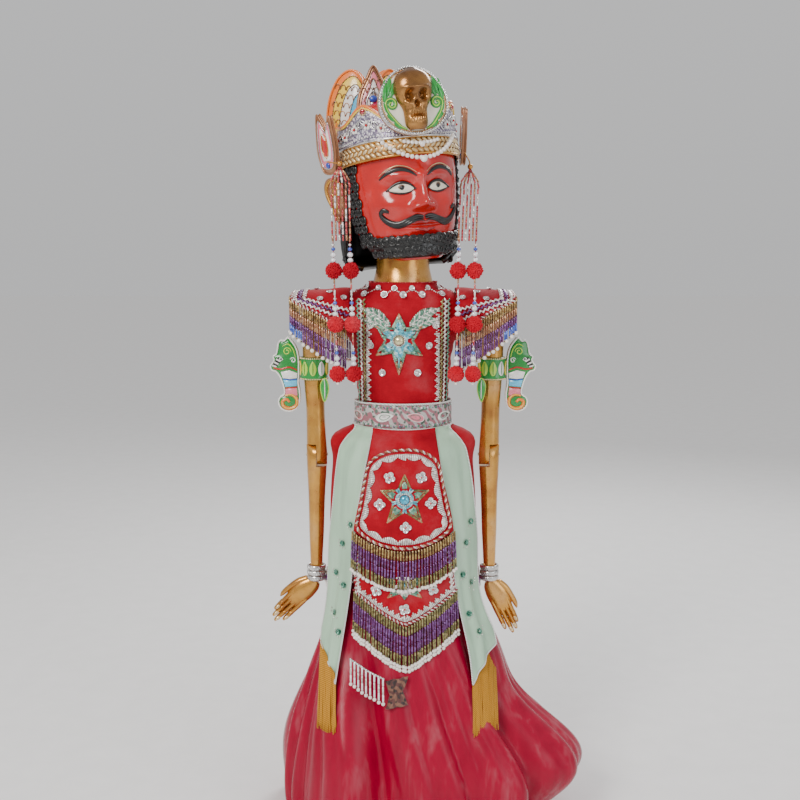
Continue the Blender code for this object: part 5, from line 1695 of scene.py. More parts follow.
# ---------------------------------------------------------------- head
HEAD = (  # (height, half width, half depth, centre y)
    (0.581, 0.0220, 0.0180, -0.040),
    (0.588, 0.0350, 0.0320, -0.028),
    (0.600, 0.0440, 0.0450, -0.016),
    (0.620, 0.0505, 0.0540, -0.008),
    (0.645, 0.0540, 0.0590, -0.004),
    (0.668, 0.0550, 0.0600, -0.003),
    (0.690, 0.0530, 0.0580, -0.003),
    (0.712, 0.0470, 0.0520, -0.003),
    (0.729, 0.0330, 0.0370, -0.002),
    (0.737, 0.0140, 0.0160, 0.000),
)
TURNED = Matrix.Rotation(math.radians(20), 4, "Z")
TILT = Matrix.Translation((0, 0, 0.600)) @ Matrix.Rotation(math.radians(-5), 4, "Y")
TILTED = TURNED @ TILT @ Matrix.Translation((0, 0, -0.600))


def head_point(angle, z, proud=0.0):
    """A point this far off the head block, in the head's own frame. Angle 0 is the face."""
    w, d, y = curve_at(HEAD, z)
    return oval(w + proud, d + proud, angle, z, y)


# Soft forms of a calm mask: (x, z, width, height, rise). A form off the middle line has its mirror.
FACE_FORMS = (
    (0.0, 0.6520, 0.0042, 0.0130, 0.0050),
    (0.0, 0.6400, 0.0050, 0.0090, 0.0055),
    (0.0, 0.6330, 0.0068, 0.0055, 0.0100),
    (0.0085, 0.6305, 0.0042, 0.0038, 0.0052),
    (0.0190, 0.6490, 0.0125, 0.0075, -0.0042),
    (0.0170, 0.6605, 0.0160, 0.0040, 0.0028),
    (0.0290, 0.6340, 0.0110, 0.0090, 0.0026),
    (0.0, 0.6165, 0.0150, 0.0028, 0.0034),
    (0.0, 0.6095, 0.0125, 0.0030, 0.0042),
    (0.0, 0.6131, 0.0140, 0.0009, -0.0034),
    (0.0, 0.5970, 0.0110, 0.0055, 0.0030),
)


def face_rise(x, z):
    total = 0.0
    for fx, fz, width, height, rise in FACE_FORMS:
        for centre in ((fx,) if fx == 0 else (fx, -fx)):
            total += rise * hump(x, centre, width) * hump(z, fz, height)
    return total


def face_point(x, z, lift=0.0):
    """A point on the mask's front at this x and height."""
    w = curve_at(HEAD, z)[0]
    angle = math.asin(max(-1, min(1, x / w)))
    return head_point(angle, z, face_rise(x, z) + lift)


def build_head():
    rows = []
    for z in steps(HEAD[-1][0], HEAD[0][0], 171):
        w = curve_at(HEAD, z)[0]
        row = []
        for a in steps(-math.pi, math.pi, 241)[:-1]:
            rise = face_rise(w * math.sin(a), z) if abs(a) < math.pi / 2 else 0.0
            row.append(head_point(a, z, rise))
        rows.append(row)
    piece = Piece("carved_mask", "head", "red_lacquer", ["head"])
    piece.add(skin(rows, closed=True, capped=True), "red")
    piece.link(TILTED)
    trim = Piece("painted_features", "head", "red_lacquer")

    for side in (RIGHT, LEFT):
        eye = [(0.0075, 0.6478), (0.0120, 0.6516), (0.0185, 0.6530), (0.0250, 0.6512), (0.0298, 0.6472),
               (0.0240, 0.6450), (0.0170, 0.6442), (0.0110, 0.6452)]
        eye = outline_through(eye, 5, side)
        trim.add(slab(eye, 0.0016, face_point, 0.0010), "ivory")
        middle = face_point(side * 0.0186, 0.6488, 0.0016)
        out = (face_point(side * 0.0186, 0.6488, 0.02) - middle).normalized()
        trim.bead("stone", "dark_wood", middle, out, UP, (0.0046, 0.0046, 0.0017))
        trim.bead("stone", "black", middle + out * 0.0008, out, UP, (0.0023, 0.0023, 0.0014))
        lid = [(side * u, v) for u, v in ((0.0062, 0.6470), (0.0115, 0.6521), (0.0185, 0.6540), (0.0255, 0.6520),
                                          (0.0320, 0.6466))]
        stroke(trim, face_point, lid, 0.0013, "black", 0.0012, taper=0.5)
        under = [(side * u, v) for u, v in ((0.0075, 0.6470), (0.0120, 0.6446), (0.0185, 0.6434), (0.0255, 0.6446),
                                            (0.0305, 0.6470))]
        stroke(trim, face_point, under, 0.0007, "black", 0.0010, taper=0.5)
        brow = [(side * u, v) for u, v in ((0.0050, 0.6590), (0.0120, 0.6640), (0.0210, 0.6660), (0.0300, 0.6630),
                                           (0.0365, 0.6575))]
        stroke(trim, face_point, brow, 0.0022, "black", 0.0004, 0.6, taper=0.75)
        stroke(trim, face_point, [(u, v + 0.0034) for u, v in brow], 0.0005, "pale_gold", 0.0006, taper=0.6)
        moustache = [(side * u, v) for u, v in ((0.0008, 0.6215), (0.0075, 0.6222), (0.0160, 0.6185), (0.0240, 0.6160),
                                                (0.0315, 0.6190), (0.0365, 0.6255), (0.0345, 0.6300), (0.0305, 0.6280))]
        for k in range(3):
            lane = [(u, v - 0.0022 * k * (1 - 0.10 * j)) for j, (u, v) in enumerate(moustache)]
            stroke(trim, face_point, lane, 0.0024 - 0.0004 * k, "black", 0.0006, 0.8, taper=0.6)
    for z, width, size in ((0.6160, 0.0110, 0.0014), (0.6103, 0.0098, 0.0018)):
        lip = [(u * width, z + (0.0006 if z > 0.613 else -0.0010) * (1 - abs(u)) - 0.0006 * (u == 0)) for u in steps(-1, 1, 9)]
        stroke(trim, face_point, lip, size, "deep_red", 0.0002, 0.6, taper=0.7)
    # the sideburns, and the beard's curls along the jaw
    source = random.Random(8)
    for side in (RIGHT, LEFT):
        for k, z in enumerate(steps(0.6055, 0.6700, 9)):
            for lane, angle in enumerate((70, 79, 88)):
                a = math.radians(side * (angle + 2.5 * (k % 2)))
                curl_bead(trim, head_point, a, z, 0.0046, side, 0.0008)
    trim.link(TILTED)
    beard = Piece("curly_beard", "head", "black_lacquer", ["beard"])
    under = []
    for z, proud in ((0.5832, 0.0030), (0.5860, 0.0046), (0.5920, 0.0048), (0.5985, 0.0042), (0.6020, 0.0024)):
        under.append([head_point(math.radians(a), z, proud) for a in steps(-90, 90, 61)])
    beard.add(thick(list(reversed(under)), 0.0036), "black")
    for row, (z, count, size) in enumerate(((0.6000, 23, 0.0052), (0.5900, 19, 0.0058))):
        for k, angle in enumerate(steps(-88 + 6 * row, 88 - 6 * row, count)):
            a = math.radians(angle + 3 * (row % 2))
            curl_bead(beard, head_point, a, z + source.uniform(-0.0006, 0.0006), size, 1 if k % 2 else -1, 0.0032)
    beard.link(TILTED)


def curl_bead(piece, on, angle, z, size, way, lift):
    """One snail curl of carved hair: a low dome with a spiral ridge."""
    at = on(angle, z, lift)
    out = (on(angle, z, lift + 0.01) - at).normalized()
    side = UP.cross(out).normalized()
    up = out.cross(side).normalized()
    piece.bead("stone", "black", at, out, up, (size, size, size * 0.42))
    line = []
    for k in range(17):
        share = k / 16
        turn = way * (0.6 + 2 * math.pi * 1.4 * share)
        r = size * (0.96 - 0.82 * share)
        line.append(at + side * r * math.cos(turn) + up * r * math.sin(turn) + out * size * (0.10 + 0.42 * share))
    piece.add(tube(line, lambda s: size * (0.20 - 0.06 * s), 6), "black")


def build_hair():
    """The hair behind the ears: locks combed down to the nape, each with a curled end."""
    piece = Piece("nape_hair", "head", "black_lacquer", ["hair"])
    sections = ((0.571, 0.0435, 0.0425, 0.000), (0.580, 0.0570, 0.0540, 0.000), (0.596, 0.0598, 0.0588, -0.001),
                (0.6165, 0.0580, 0.0630, -0.002), (0.640, 0.0556, 0.0608, -0.003), (0.668, 0.0562, 0.0612, -0.003))

    def on(angle, z, lift=0.0):
        w, d, y = curve_at(sections, z)
        return oval(w + lift, d + lift, angle, z, y)

    rows = [[on(math.radians(a), z) for a in steps(96, 264, 61)] for z in steps(0.668, 0.5715, 30)]
    piece.add(thick(rows, 0.0050), "black")
    source = random.Random(4)
    for k, angle in enumerate(steps(97, 263, 46)):
        a = math.radians(angle)
        line = []
        low = 0.5735 + source.uniform(0, 0.004)
        for share in steps(0, 1, 15):
            z = blend_of(0.670, low, share)
            line.append(on(a + 0.035 * math.sin(share * 9 + k * 1.3) * (0.3 + share), z, 0.0008 + 0.0008 * math.sin(share * 14 + k)))
        piece.add(tube(line, lambda s: 0.0024 - 0.0008 * s, 7), "black")
        curl_bead(piece, on, a, low + 0.0015, 0.0040, 1 if k % 2 else -1, 0.0002)
        if k % 2:
            curl_bead(piece, on, a, low + 0.0100, 0.0038, -1, 0.0010)
    piece.link(TILTED)


def build_ears():
    for side in (RIGHT, LEFT):
        name = f"{SIDE_NAME[side]}_ear"
        place = Matrix.Translation((side * 0.0580, 0.008, 0.642)) @ Matrix.Rotation(side * math.radians(52), 4, "Z")
        piece = Piece(f"{name}_carving", "head", "gold_paint", [name])
        outline = [(-0.0030, -0.0230), (0.0045, -0.0215), (0.0085, -0.0150), (0.0120, -0.0060), (0.0168, 0.0040),
                   (0.0184, 0.0140), (0.0150, 0.0215), (0.0080, 0.0235), (0.0000, 0.0230), (-0.0050, 0.0200),
                   (-0.0052, 0.0000), (-0.0045, -0.0150)]
        outline = outline_through(outline, 4)
        for face in (-1, 1):
            piece.add(slab(outline, 0.0024, flat_face(place, side, face, 0.0002), 0.0002), "copper")
            top = flat_face(place, side, face, 0.0026)
            helix = [(-0.0030, 0.0160), (0.0030, 0.0205), (0.0100, 0.0200), (0.0150, 0.0135), (0.0140, 0.0050),
                     (0.0100, -0.0050), (0.0070, -0.0140), (0.0020, -0.0195)]
            stroke(piece, top, helix, 0.0019, "gold", 0.0, 0.8, taper=0.3)
            stroke(piece, top, curl(0.0060, 0.0090, 60, 0.0058, 1.2, 1), 0.0011, "gold", 0.0, 0.8, taper=0.3)
            stroke(piece, top, [(0.0010, -0.0020), (0.0045, -0.0065), (0.0040, -0.0120)], 0.0013, "gold", taper=0.4)
            piece.bead("pearl", "gold", top(0.0022, -0.0170, 0.0010), UP, None, 0.0024)
        piece.link(TILTED)


# ---------------------------------------------------------------- crown
def band_middle(angle):
    return 0.6800 + 0.0070 * math.cos(angle)


def diadem_top(angle):
    turn = abs(math.degrees(math.atan2(math.sin(angle), math.cos(angle))))
    lobes = 0.017 * math.exp(-(((turn - 52) / 18) ** 2)) + 0.010 * math.exp(-(((turn - 128) / 24) ** 2))
    return 0.7095 + lobes


def build_band():
    """The brow band: three plaited rows between two gold rims."""
    piece = Piece("plaited_band", "head", "gold_paint", ["crown_band"])
    columns = turns(160)
    rows = []
    for share in steps(1, -1, 9):
        proud = 0.0052 - 0.0014 * share * share
        rows.append([head_point(a, band_middle(a) + 0.0075 * share, proud) for a in columns])
    piece.add(thick(rows, 0.0036, closed=True), "deep_gold")

    def on(u, v, lift=0.0):
        return head_point(u, band_middle(u) + v, 0.0050 + lift)

    for k in range(66):
        a = 2 * math.pi * k / 66
        for lane, v in enumerate((0.0046, 0.0, -0.0046)):
            shift = math.pi / 66 if lane % 2 else 0.0
            at = on(a + shift, v, 0.0)
            out = (on(a + shift, v, 0.01) - at).normalized()
            along = (on(a + shift + 0.02, v) - at).normalized()
            lean = (along + UP * (0.75 if lane % 2 else -0.75)).normalized()
            piece.bead("grain", "pale_gold", at, lean, out, (0.0010, 0.0016, 0.0034))
            if lane != 1:
                dot = on(a + math.pi / 66, v * 0.5, 0.0008)
                piece.bead("seed", "dark_wood", dot, out, UP, 0.0007)
    for share in (1, -1):
        ring = [on(a, 0.0076 * share, -0.0006) for a in columns]
        piece.add(tube(ring, 0.0013, 7, closed=True), "gold")
    piece.link(TILTED)


def build_diadem():
    """The pierced wall over the band, with flowers along it and a painted rim on its lobes."""
    piece = Piece("diadem_wall", "head", "crown_paint", ["crown_diadem"])
    columns = turns(240)

    def on(a, share, lift=0.0):
        low = band_middle(a) + 0.0079
        z = blend_of(low, diadem_top(a), share)
        w = blend_of(0.0590, 0.0570, share) + lift
        d = blend_of(0.0645, 0.0620, share) + lift
        return oval(w, d, a, z, -0.003)

    rows = [[on(a, share, -0.0006) for a in columns] for share in steps(1, 0, 15)]
    piece.add(thick(rows, 0.0026, closed=True), "filigree")
    for lift, share, radius, finish in ((0.0, 1.0, 0.0014, "orange"), (0.0004, 0.93, 0.0009, "yellow"),
                                        (0.0002, 0.03, 0.0010, "silver")):
        ring = [on(a, share, lift - 0.0004) for a in columns]
        piece.add(tube(ring, radius, 7, closed=True), finish)
    for k in range(26):
        a = 2 * math.pi * (k + 0.5) / 26
        turn = abs(math.degrees(math.atan2(math.sin(a), math.cos(a))))
        if turn < 30:
            continue
        at = on(a, 0.48, 0.0)
        out = (on(a, 0.48, 0.01) - at).normalized()
        side = UP.cross(out).normalized()
        for petal in range(5):
            angle = 2 * math.pi * petal / 5
            spot = at + side * 0.0028 * math.sin(angle) + UP * 0.0028 * math.cos(angle)
            piece.bead("stone", "white", spot - out * 0.0002, out, UP, (0.0017, 0.0017, 0.0014))
        piece.bead("seed", "red", at + out * 0.0012, out, UP, 0.0012)
        for way in (-1, 1):
            line = []
            for j in range(13):
                share = j / 12
                turn_at = 2.6 * math.pi * share
                r = 0.0048 * (1 - 0.72 * share)
                u = a + way * (0.100 - r * math.cos(turn_at) / 0.060)
                line.append(on(u, 0.5, 0.0004) + UP * (r * math.sin(turn_at)))
            piece.add(tube(line, 0.0006, 5), "silver")
    for side in (RIGHT, LEFT):
        for centre in (52, 128):
            a = math.radians(side * centre)
            at = on(a, 0.86, 0.0)
            out = (on(a, 0.86, 0.01) - at).normalized()
            piece.bead("stone", "red_gem" if centre == 52 else "cyan_gem", at, out, UP, (0.0026, 0.0026, 0.0020))
            ring = [at + (UP.cross(out).normalized() * math.sin(t) + UP * math.cos(t)) * 0.0034 for t in turns(12)]
            bead_row(piece, "seed", "pale_gold", ring, 0.0018, 0.0008, lambda p, o=out: o, closed=True)
    for k in range(120):
        a = 2 * math.pi * k / 120
        piece.bead("seed", "white", on(a, 0.16, 0.0), UP, None, 0.0008)
    piece.link(TILTED)


MEDALLION = Matrix.Translation((-0.005, -0.0685, 0.7262)) @ Matrix.Rotation(math.radians(-7), 4, "X")


def disc_edge(a, share=1.0):
    return (0.034 * math.sin(a) * (1 - 0.12 * math.cos(a)) * share, 0.0315 * math.cos(a) * share)


def build_medallion():
    """The round plate over the brow: a beaded rim and flame scrolls on a white field."""
    piece = Piece("medallion_plate", "head", "crown_paint", ["crown_medallion"])
    edge = [disc_edge(a) for a in turns(72)]
    for face, thickness, finish in ((-1, 0.0026, "silver"), (1, 0.0024, "copper")):
        piece.add(slab(edge, thickness, flat_face(MEDALLION, 1, face, 0.0002)), finish)
    top = flat_face(MEDALLION, out=0.0027)
    field = [disc_edge(a, 0.90) for a in turns(60)]
    piece.add(slab(field, 0.0005, top), "ivory")
    for share, finish, size, spacing in ((0.965, "silver", 0.0013, 0.0027), (0.905, "gold", 0.0008, 0.0018)):
        ring = [top(*disc_edge(a, share), 0.0004) for a in turns(90)]
        facing = (top(0, 0, 0.01) - top(0, 0, 0)).normalized()
        bead_row(piece, "seed", finish, ring, spacing, size, lambda p: facing, closed=True)
    for side in (RIGHT, LEFT):
        tail = [(0.0095, -0.0262), (0.0160, -0.0228), (0.0215, -0.0165), (0.0262, -0.0095), (0.0282, -0.0020)]
        spiral = curl(0.0222, -0.0030, -20, 0.0060, 1.35, 1, 0.80)
        for path, size, taper in ((tail, 0.0019, 0.6), (spiral, 0.0021, 0.35)):
            line = [(side * u, v) for u, v in path]
            stroke(piece, top, line, size, "leaf_green", 0.0006, 0.6, taper=taper)
            stroke(piece, top, line, size * 0.3, "lime", 0.0006 + size * 0.5, 0.7, taper=taper)
        flames = (
            ((0.0285, -0.0010), (0.0300, 0.0060), (0.0262, 0.0190), (0.0240, 0.0085)),
            ((0.0262, 0.0035), (0.0262, 0.0105), (0.0208, 0.0215), (0.0205, 0.0110)),
            ((0.0225, 0.0030), (0.0222, 0.0080), (0.0178, 0.0165), (0.0180, 0.0080)),
            ((0.0262, -0.0100), (0.0285, -0.0090), (0.0296, -0.0015), (0.0268, -0.0050)),
            ((0.0205, -0.0170), (0.0235, -0.0180), (0.0275, -0.0130), (0.0240, -0.0120)),
            ((0.0140, -0.0238), (0.0170, -0.0250), (0.0218, -0.0208), (0.0180, -0.0195)),
        )
        for shape in flames:
            leaf = outline_through(shape, 5, side)
            piece.add(slab(leaf, 0.0012, top, 0.0004), "leaf_green")
            stroke(piece, top, leaf[::2], 0.00035, "green", 0.0010, closed=True, count=2)
    piece.link(TILTED)

    boss = Piece("skull_boss", "head", "gold_paint", ["crown_skull_boss"])
    rows = []
    for v in steps(0.0290, -0.0275, 90):
        w, d = curve_at(((-0.0275, 0.0070, 0.0040), (-0.0230, 0.0105, 0.0085), (-0.0140, 0.0112, 0.0098),
                         (-0.0080, 0.0120, 0.0100), (0.0020, 0.0172, 0.0125), (0.0130, 0.0186, 0.0148),
                         (0.0230, 0.0145, 0.0120), (0.0290, 0.0050, 0.0048)), v)
        row = []
        for a in steps(-math.pi / 2, math.pi / 2, 81):
            x = w * math.sin(a)
            rise = 0.0
            for side in (-1, 1):
                rise -= 0.0085 * hump(x, side * 0.0068, 0.0040) * hump(v, 0.0030, 0.0045)
                rise += 0.0030 * hump(x, side * 0.0075, 0.0060) * hump(v, 0.0090, 0.0022)
                rise += 0.0032 * hump(x, side * 0.0098, 0.0032) * hump(v, -0.0050, 0.0025)
            rise -= 0.0060 * hump(x, 0.0, 0.0022) * hump(v, -0.0045, 0.0030)
            for k in range(-3, 4):
                rise -= 0.0020 * hump(x, k * 0.0024 + 0.0012, 0.0005) * hump(v, -0.0150, 0.0042)
            rise -= 0.0034 * hump(v, -0.0152, 0.0009) * hump(x, 0, 0.0075)
            row.append(MEDALLION @ Vector((x, -0.0032 - (d + rise) * math.cos(a), v)))
        rows.append(row)
    boss.add(thick(rows, 0.0010), "antique_gold")
    boss.link(TILTED)


def build_plumes():
    """Painted plumes: rims, colour zones, scale rows and dots on both faces."""
    round_plume = [(-0.0130, 0.0), (-0.0190, 0.0200), (-0.0190, 0.0420), (-0.0125, 0.0610), (0.0000, 0.0700),
                   (0.0120, 0.0620), (0.0178, 0.0440), (0.0165, 0.0200), (0.0110, 0.0)]
    pointed = [(-0.0100, 0.0), (-0.0150, 0.0200), (-0.0128, 0.0400), (-0.0050, 0.0560), (0.0010, 0.0665),
               (0.0075, 0.0560), (0.0135, 0.0420), (0.0140, 0.0200), (0.0100, 0.0)]
    plumes = (
        ("right_rear_plume", round_plume, (-0.0455, 0.0240), -38, 14, 1.00, 0.0150, ("orange", "yellow", "white", "sky")),
        ("left_rear_plume", round_plume, (0.0140, 0.0380), 14, -3, 1.00, -0.0150, ("orange", "yellow", "white", "sky")),
        ("middle_plume", pointed, (-0.0250, -0.0100), -12, 3, 1.02, 0.0, ("copper", "rose", "white", "silver")),
    )
    for name, points, (x, y), turn, lean, size, pivot, zones in plumes:
        place = Matrix.Translation((x, y, 0.6985)) @ Matrix.Rotation(math.radians(turn), 4, "Z")
        place = place @ Matrix.Rotation(math.radians(lean), 4, "Y") @ Matrix.Scale(size, 4)
        edge = [(p.x, p.y) for p in smooth_path([(u, v, 0) for u, v in points], 5)]
        piece = Piece(f"{name}_carving", "head", "crown_paint", [name])
        for face in (-1, 1):
            on = flat_face(place, 1, face, 0.0002)
            piece.add(slab(edge, 0.0040, on), zones[0])
            for k, (zone, share) in enumerate(zip(zones[1:], (0.82, 0.58, 0.30))):
                inner = [(pivot + (u - pivot) * share, 0.001 + (v - 0.001) * (share * 0.45 + 0.55)) for u, v in edge]
                step = flat_face(place, 1, face, 0.0042 + 0.0005 * k)
                piece.add(slab(inner, 0.0005, step), zone)
                rim = [step(u, v, 0.0006) for u, v in inner]
                piece.add(tube(rim, 0.00042, 5), "dark_wood")
                for at, _ in evenly(rim, 0.0042):
                    piece.bead("seed", "black", at, UP, None, 0.00065)
            top = flat_face(place, 1, face, 0.0048)
            for row in range(5):
                for k in range(-2, 3):
                    u, v = k * 0.0062 + (row % 2) * 0.0031, 0.018 + row * 0.0082
                    limit = max(abs(p[0]) for p in edge if abs(p[1] - v) < 0.008) - 0.0045
                    if abs(u) > limit or v > 0.056:
                        continue
                    arc = [(u - 0.0028, v - 0.0008), (u - 0.0020, v + 0.0026), (u, v + 0.0038), (u + 0.0020, v + 0.0026),
                           (u + 0.0028, v - 0.0008)]
                    stroke(piece, top, arc, 0.00048, "copper", 0.0006, taper=0.2, count=3, sides=5)
            if name == "middle_plume":
                centre, out = top(0.0, 0.036, 0.0006), (top(0, 0.036, 0.01) - top(0, 0.036, 0)).normalized()
                piece.bead("stone", "blue", centre, out, UP, (0.0034, 0.0040, 0.0026))
                for way in (-1, 1):
                    stroke(piece, top, [(0, 0.044), (way * 0.005, 0.038), (way * 0.006, 0.030), (0, 0.024)], 0.0007, "silver",
                           0.0008)
            rim = [on(u * 0.985, v * 0.995, 0.0040) for u, v in edge]
            piece.add(tube(rim, 0.0011, 6), zones[0])
        piece.link(TILTED)


def build_wings():
    for side in (RIGHT, LEFT):
        name = f"{SIDE_NAME[side]}_crown_wing"
        place = Matrix.Translation((side * 0.0690, -0.002, 0.6690)) @ Matrix.Rotation(side * math.radians(72), 4, "Z")
        place = place @ Matrix.Rotation(math.radians(6), 4, "X")
        outline = [(-0.0085, 0.0005), (-0.0140, 0.0110), (-0.0165, 0.0260), (-0.0160, 0.0420), (-0.0148, 0.0525),
                   (-0.0105, 0.0475), (-0.0060, 0.0410), (-0.0010, 0.0490), (0.0042, 0.0560), (0.0075, 0.0490),
                   (0.0105, 0.0360), (0.0130, 0.0210), (0.0110, 0.0080), (0.0065, 0.0005)]
        edge = outline_through(outline, 4)
        piece = Piece(f"{name}_carving", "head", "crown_paint", [name])
        for face in (-1, 1):
            piece.add(slab(edge, 0.0017, flat_face(place, side, face, 0.0001)), "copper")
            top = flat_face(place, side, face, 0.0018)
            def inside(share, low, high):
                part = []
                for u, v in edge:
                    pu, pv = -0.0010 + (u + 0.0010) * share, 0.0250 + (v - 0.0250) * share
                    part.append((pu, min(max(pv, low), high)))
                return part

            piece.add(slab(inside(0.80, 0.002, 0.060), 0.0004, top), "rose")
            piece.add(slab(inside(0.58, 0.012, 0.045), 0.0008, top), "white")
            piece.add(slab(inside(0.38, 0.016, 0.036), 0.0012, top), "red")
            stroke(piece, top, edge[::2], 0.0010, "copper", 0.0, closed=True, count=2)
            stroke(piece, top, inside(0.80, 0.002, 0.060)[::2], 0.00055, "silver", 0.0006, closed=True, count=2)
            for way in (-1, 1):
                stroke(piece, top, [(-0.001, 0.014), (way * 0.005 - 0.001, 0.022), (way * 0.004 - 0.001, 0.032),
                                    (way * 0.001, 0.038)], 0.0007, "gold", 0.0010, taper=0.5)
            out = (top(0, 0.01, 0.01) - top(0, 0.01, 0)).normalized()
            piece.bead("stone", "blue", top(-0.001, 0.0075, 0.0004), out, UP, (0.0030, 0.0030, 0.0024))
        piece.link(TILTED)


def build_forehead_pearls():
    for name, reach, top, sag, size in (("upper_pearls", 15, 0.6905, 0.002, 0.0018), ("lower_pearls", 36, 0.6940, 0.019, 0.0021)):
        piece = Piece(f"{name}_string", "head", "pearl", [name])
        line = []
        for share in steps(-1, 1, 31):
            line.append(head_point(math.radians(reach) * share, top - sag * (1 - share * share), 0.0106))
        piece.add(tube(line, 0.0004, 5), "cord")
        for at, _ in evenly(line, size * 2.15):
            piece.bead("pearl", "pearl", at, UP, None, size)
        piece.bead("pearl", "pearl", line[15] + Vector((0, -0.0008, -0.0014)), UP, None, size * 1.5)
        piece.link(TILTED)


# ---------------------------------------------------------------- ear tassels
TASSEL_LINE = {
    RIGHT: ((0.666, -0.0600, -0.0470), (0.610, -0.0590, -0.0520), (0.570, -0.0580, -0.0540), (0.460, -0.0550, -0.0540)),
    LEFT: ((0.666, 0.0660, -0.0060), (0.610, 0.0625, -0.0330), (0.570, 0.0605, -0.0520), (0.545, 0.0605, -0.0540),
           (0.460, 0.0590, -0.0540)),
}


def straight_at(stations, z):
    rows = sorted(stations)
    for low, high in zip(rows, rows[1:]):
        if z <= high[0]:
            share = (z - low[0]) / (high[0] - low[0])
            return [a + (b - a) * share for a, b in zip(low[1:], high[1:])]
    return list(rows[-1][1:])


def tassel_point(side, z, shift=0.0):
    x, y = straight_at(TASSEL_LINE[side], z)
    return Vector((x + shift, y, z))


def pompon(piece, centre, radius, source):
    """A round tuft of cut wool: a soft core and many short tufts that stand out of it."""
    piece.bead("pearl", "pompon", centre, UP, None, radius * 0.80)
    count = 230
    for k in range(count):
        z = 1 - 2 * (k + 0.5) / count
        turn = math.pi * (3 - math.sqrt(5)) * k
        r = math.sqrt(1 - z * z)
        out = Vector((r * math.cos(turn), r * math.sin(turn), z))
        out = (out + Vector([source.uniform(-0.10, 0.10) for _ in range(3)])).normalized()
        reach = radius * source.uniform(0.84, 0.99)
        piece.bead("grain", "pompon", centre + out * reach * 0.82, out, None, (0.00085, 0.00085, reach * 0.20))


def build_tassels():
    for side in (RIGHT, LEFT):
        name = f"{SIDE_NAME[side]}_ear_tassel"
        piece = Piece(f"{name}_strands", None, "pompon", [name])
        source = random.Random(31 + side)
        shades = ("red_bead", "copper_bead", "red_bead", "silver_bead")
        for k in range(6):
            shift = blend_of(-0.0085, 0.0085, k / 5)
            line = [tassel_point(side, z, shift * smooth((0.6710 - z) / 0.018)) for z in steps(0.6705, 0.598, 17)]
            piece.add(tube(line, 0.00045, 5), "red_thread")
            for j, (at, tangent) in enumerate(evenly(line, 0.0062)[1:-1]):
                finish = shades[(k + j // 2) % 4]
                piece.bead("bugle", finish, at + tangent * 0.0031, tangent, FRONT, (0.0010, 0.0010, 0.0056))
        top = tassel_point(side, 0.6705)
        piece.bead("pearl", "gold", top, UP, None, 0.0028)
        low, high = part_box(f"{SIDE_NAME[side]}_crown_wing")
        hook = Vector(((low.x + high.x) / 2, top.y, low.z + 0.010))
        loop = smooth_path([top, top.lerp(hook, 0.4) + Vector((side * 0.0012, 0, 0)), hook], 6)
        piece.add(tube(loop, 0.0007, 7), "deep_gold")
        for which in (-1, 1):
            shift = which * 0.0080
            for level, top in zip((0.570, 0.519, 0.471), (0.600, 0.5615, 0.5105)):
                line = [tassel_point(side, z, shift) for z in steps(top, level, 9)]
                piece.add(tube(line, 0.00050, 5), "white_bead" if level != 0.570 else "red_thread")
                bead_z = level + 0.0097
                for finish, size in (("white_bead", 0.0028), ("white_bead", 0.0028), ("blue_bead", 0.0021), ("silver_bead", 0.0015)):
                    piece.bead("pearl", finish, tassel_point(side, bead_z, shift), UP, None, (size, size, size * 0.85))
                    bead_z += size * 1.9
                while bead_z < top - 0.002:
                    piece.bead("bugle", shades[int(bead_z * 900) % 4], tassel_point(side, bead_z + 0.0028, shift), UP, None,
                               (0.0009, 0.0009, 0.0052))
                    bead_z += 0.0056
                pompon(piece, tassel_point(side, level, shift), 0.0088, source)
            end = tassel_point(side, 0.471 - 0.0092, shift)
            piece.bead("pearl", "pearl", end, UP, None, 0.0016)
        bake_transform(piece.link(), "head", "neck", tassel_point(side, 0.664), tassel_point(side, 0.560))


# ---------------------------------------------------------------- stand, rod, torso and cords keep the CAD's shape
def dress_frame():
    """The turned and carved parts that are already final in the CAD get their own finishes."""
    finishes = {"stand_base": "dark_wood", "central_rod": "pale_wood", "torso": "pale_wood"}
    for side in SIDE_NAME.values():
        finishes[f"{side}_elbow_cord"] = finishes[f"{side}_shoulder_cord"] = "cord"
    for name, finish in finishes.items():
        mesh = nodes[name].data
        mesh.materials.clear()
        mesh.materials.append(FINISH[finish])
        nodes[name].active_material = FINISH[finish]


# ---------------------------------------------------------------- stage
def add_light(name, place, aim, size, power, colour=(1, 1, 1)):
    data = bpy.data.lights.new(name, "AREA")
    data.shape = "DISK"
    data.size, data.energy, data.color = size, power, colour
    made = bpy.data.objects.new(name, data)
    bpy.context.scene.collection.objects.link(made)
    made.location = place
    made.rotation_euler = (Vector(aim) - Vector(place)).to_track_quat("-Z", "Y").to_euler()
    return made


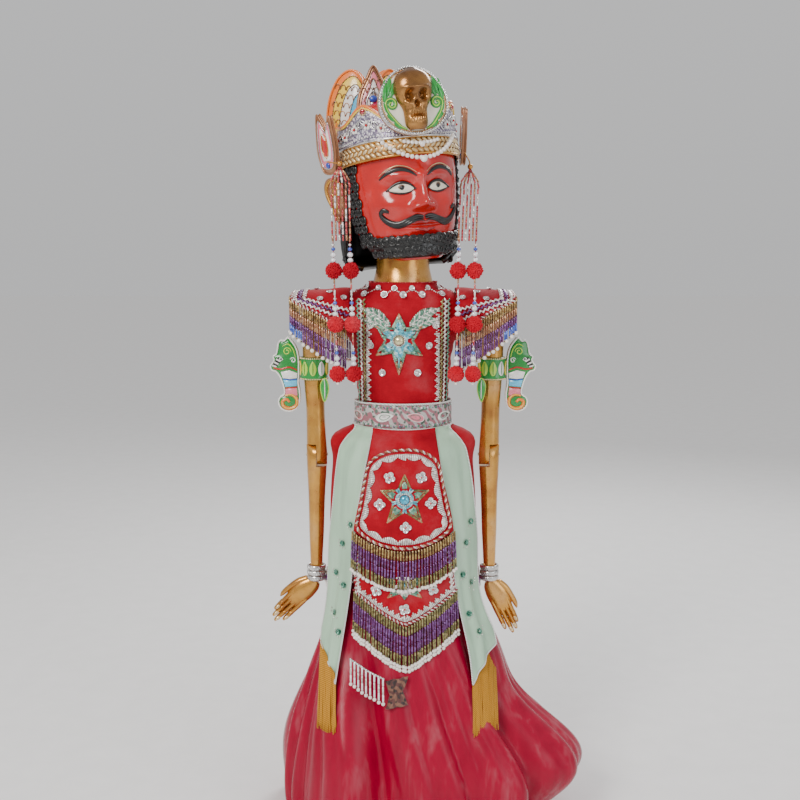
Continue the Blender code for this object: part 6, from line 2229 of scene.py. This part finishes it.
def build_stage():
    corners = [(-9, -6, 0), (9, -6, 0), (9, 12, 0), (-9, 12, 0)]
    mesh = bpy.data.meshes.new("studio_floor")
    mesh.from_pydata(corners, [], [(0, 1, 2, 3)])
    mesh.materials.append(pale_floor("studio_floor"))
    floor = bpy.data.objects.new("studio_floor", mesh)
    bpy.context.scene.collection.objects.link(floor)
    lights = [
        add_light("key", (-0.9, -1.5, 1.5), (0, 0, 0.42), 0.8, 33, (1.0, 0.97, 0.93)),
        add_light("fill", (1.3, -1.3, 0.8), (0, 0, 0.40), 1.2, 8, (0.93, 0.96, 1.0)),
        add_light("back", (0.5, 1.2, 1.4), (0, 0, 0.50), 0.8, 18),
    ]
    world = bpy.data.worlds.new("studio")
    world.use_nodes = True
    tree = world.node_tree
    tree.nodes["Background"].inputs["Strength"].default_value = 1.0
    where = tree.nodes.new("ShaderNodeTexCoord")
    height = tree.nodes.new("ShaderNodeSeparateXYZ")
    shade = tree.nodes.new("ShaderNodeValToRGB")
    shade.color_ramp.elements[0].color = (0.60, 0.60, 0.605, 1)
    shade.color_ramp.elements[1].color = (0.80, 0.80, 0.81, 1)
    tree.links.new(where.outputs["Generated"], height.inputs[0])
    tree.links.new(height.outputs["Z"], shade.inputs["Fac"])
    tree.links.new(shade.outputs["Color"], tree.nodes["Background"].inputs["Color"])
    bpy.context.scene.world = world
    data = bpy.data.cameras.new("camera")
    data.lens, data.sensor_width = 49.5, 36.0
    data.clip_start = 0.05
    camera = bpy.data.objects.new("camera", data)
    bpy.context.scene.collection.objects.link(camera)
    camera.location = (-0.003, -1.109, 0.594)
    camera.rotation_euler = (Vector((-0.003, 0, 0.438)) - camera.location).to_track_quat("-Z", "Y").to_euler()
    bpy.context.scene.camera = camera


# ---------------------------------------------------------------- main
build_stage()
bodice = build_bodice()
build_collar(bodice)
build_chest_beads(Cover(bodice))
for build in (build_belt, build_hip_flaps, build_aprons, build_sashes, build_bead_row_and_tab, build_skirt):
    build()
for side in (RIGHT, LEFT):
    for build in (build_sleeve, build_arm_wood, build_hand, build_bangles, build_armlet):
        build(side)
for build in (build_neck, build_head, build_hair, build_ears, build_band, build_diadem, build_medallion,
              build_plumes, build_wings, build_forehead_pearls, build_tassels, dress_frame):
    build()
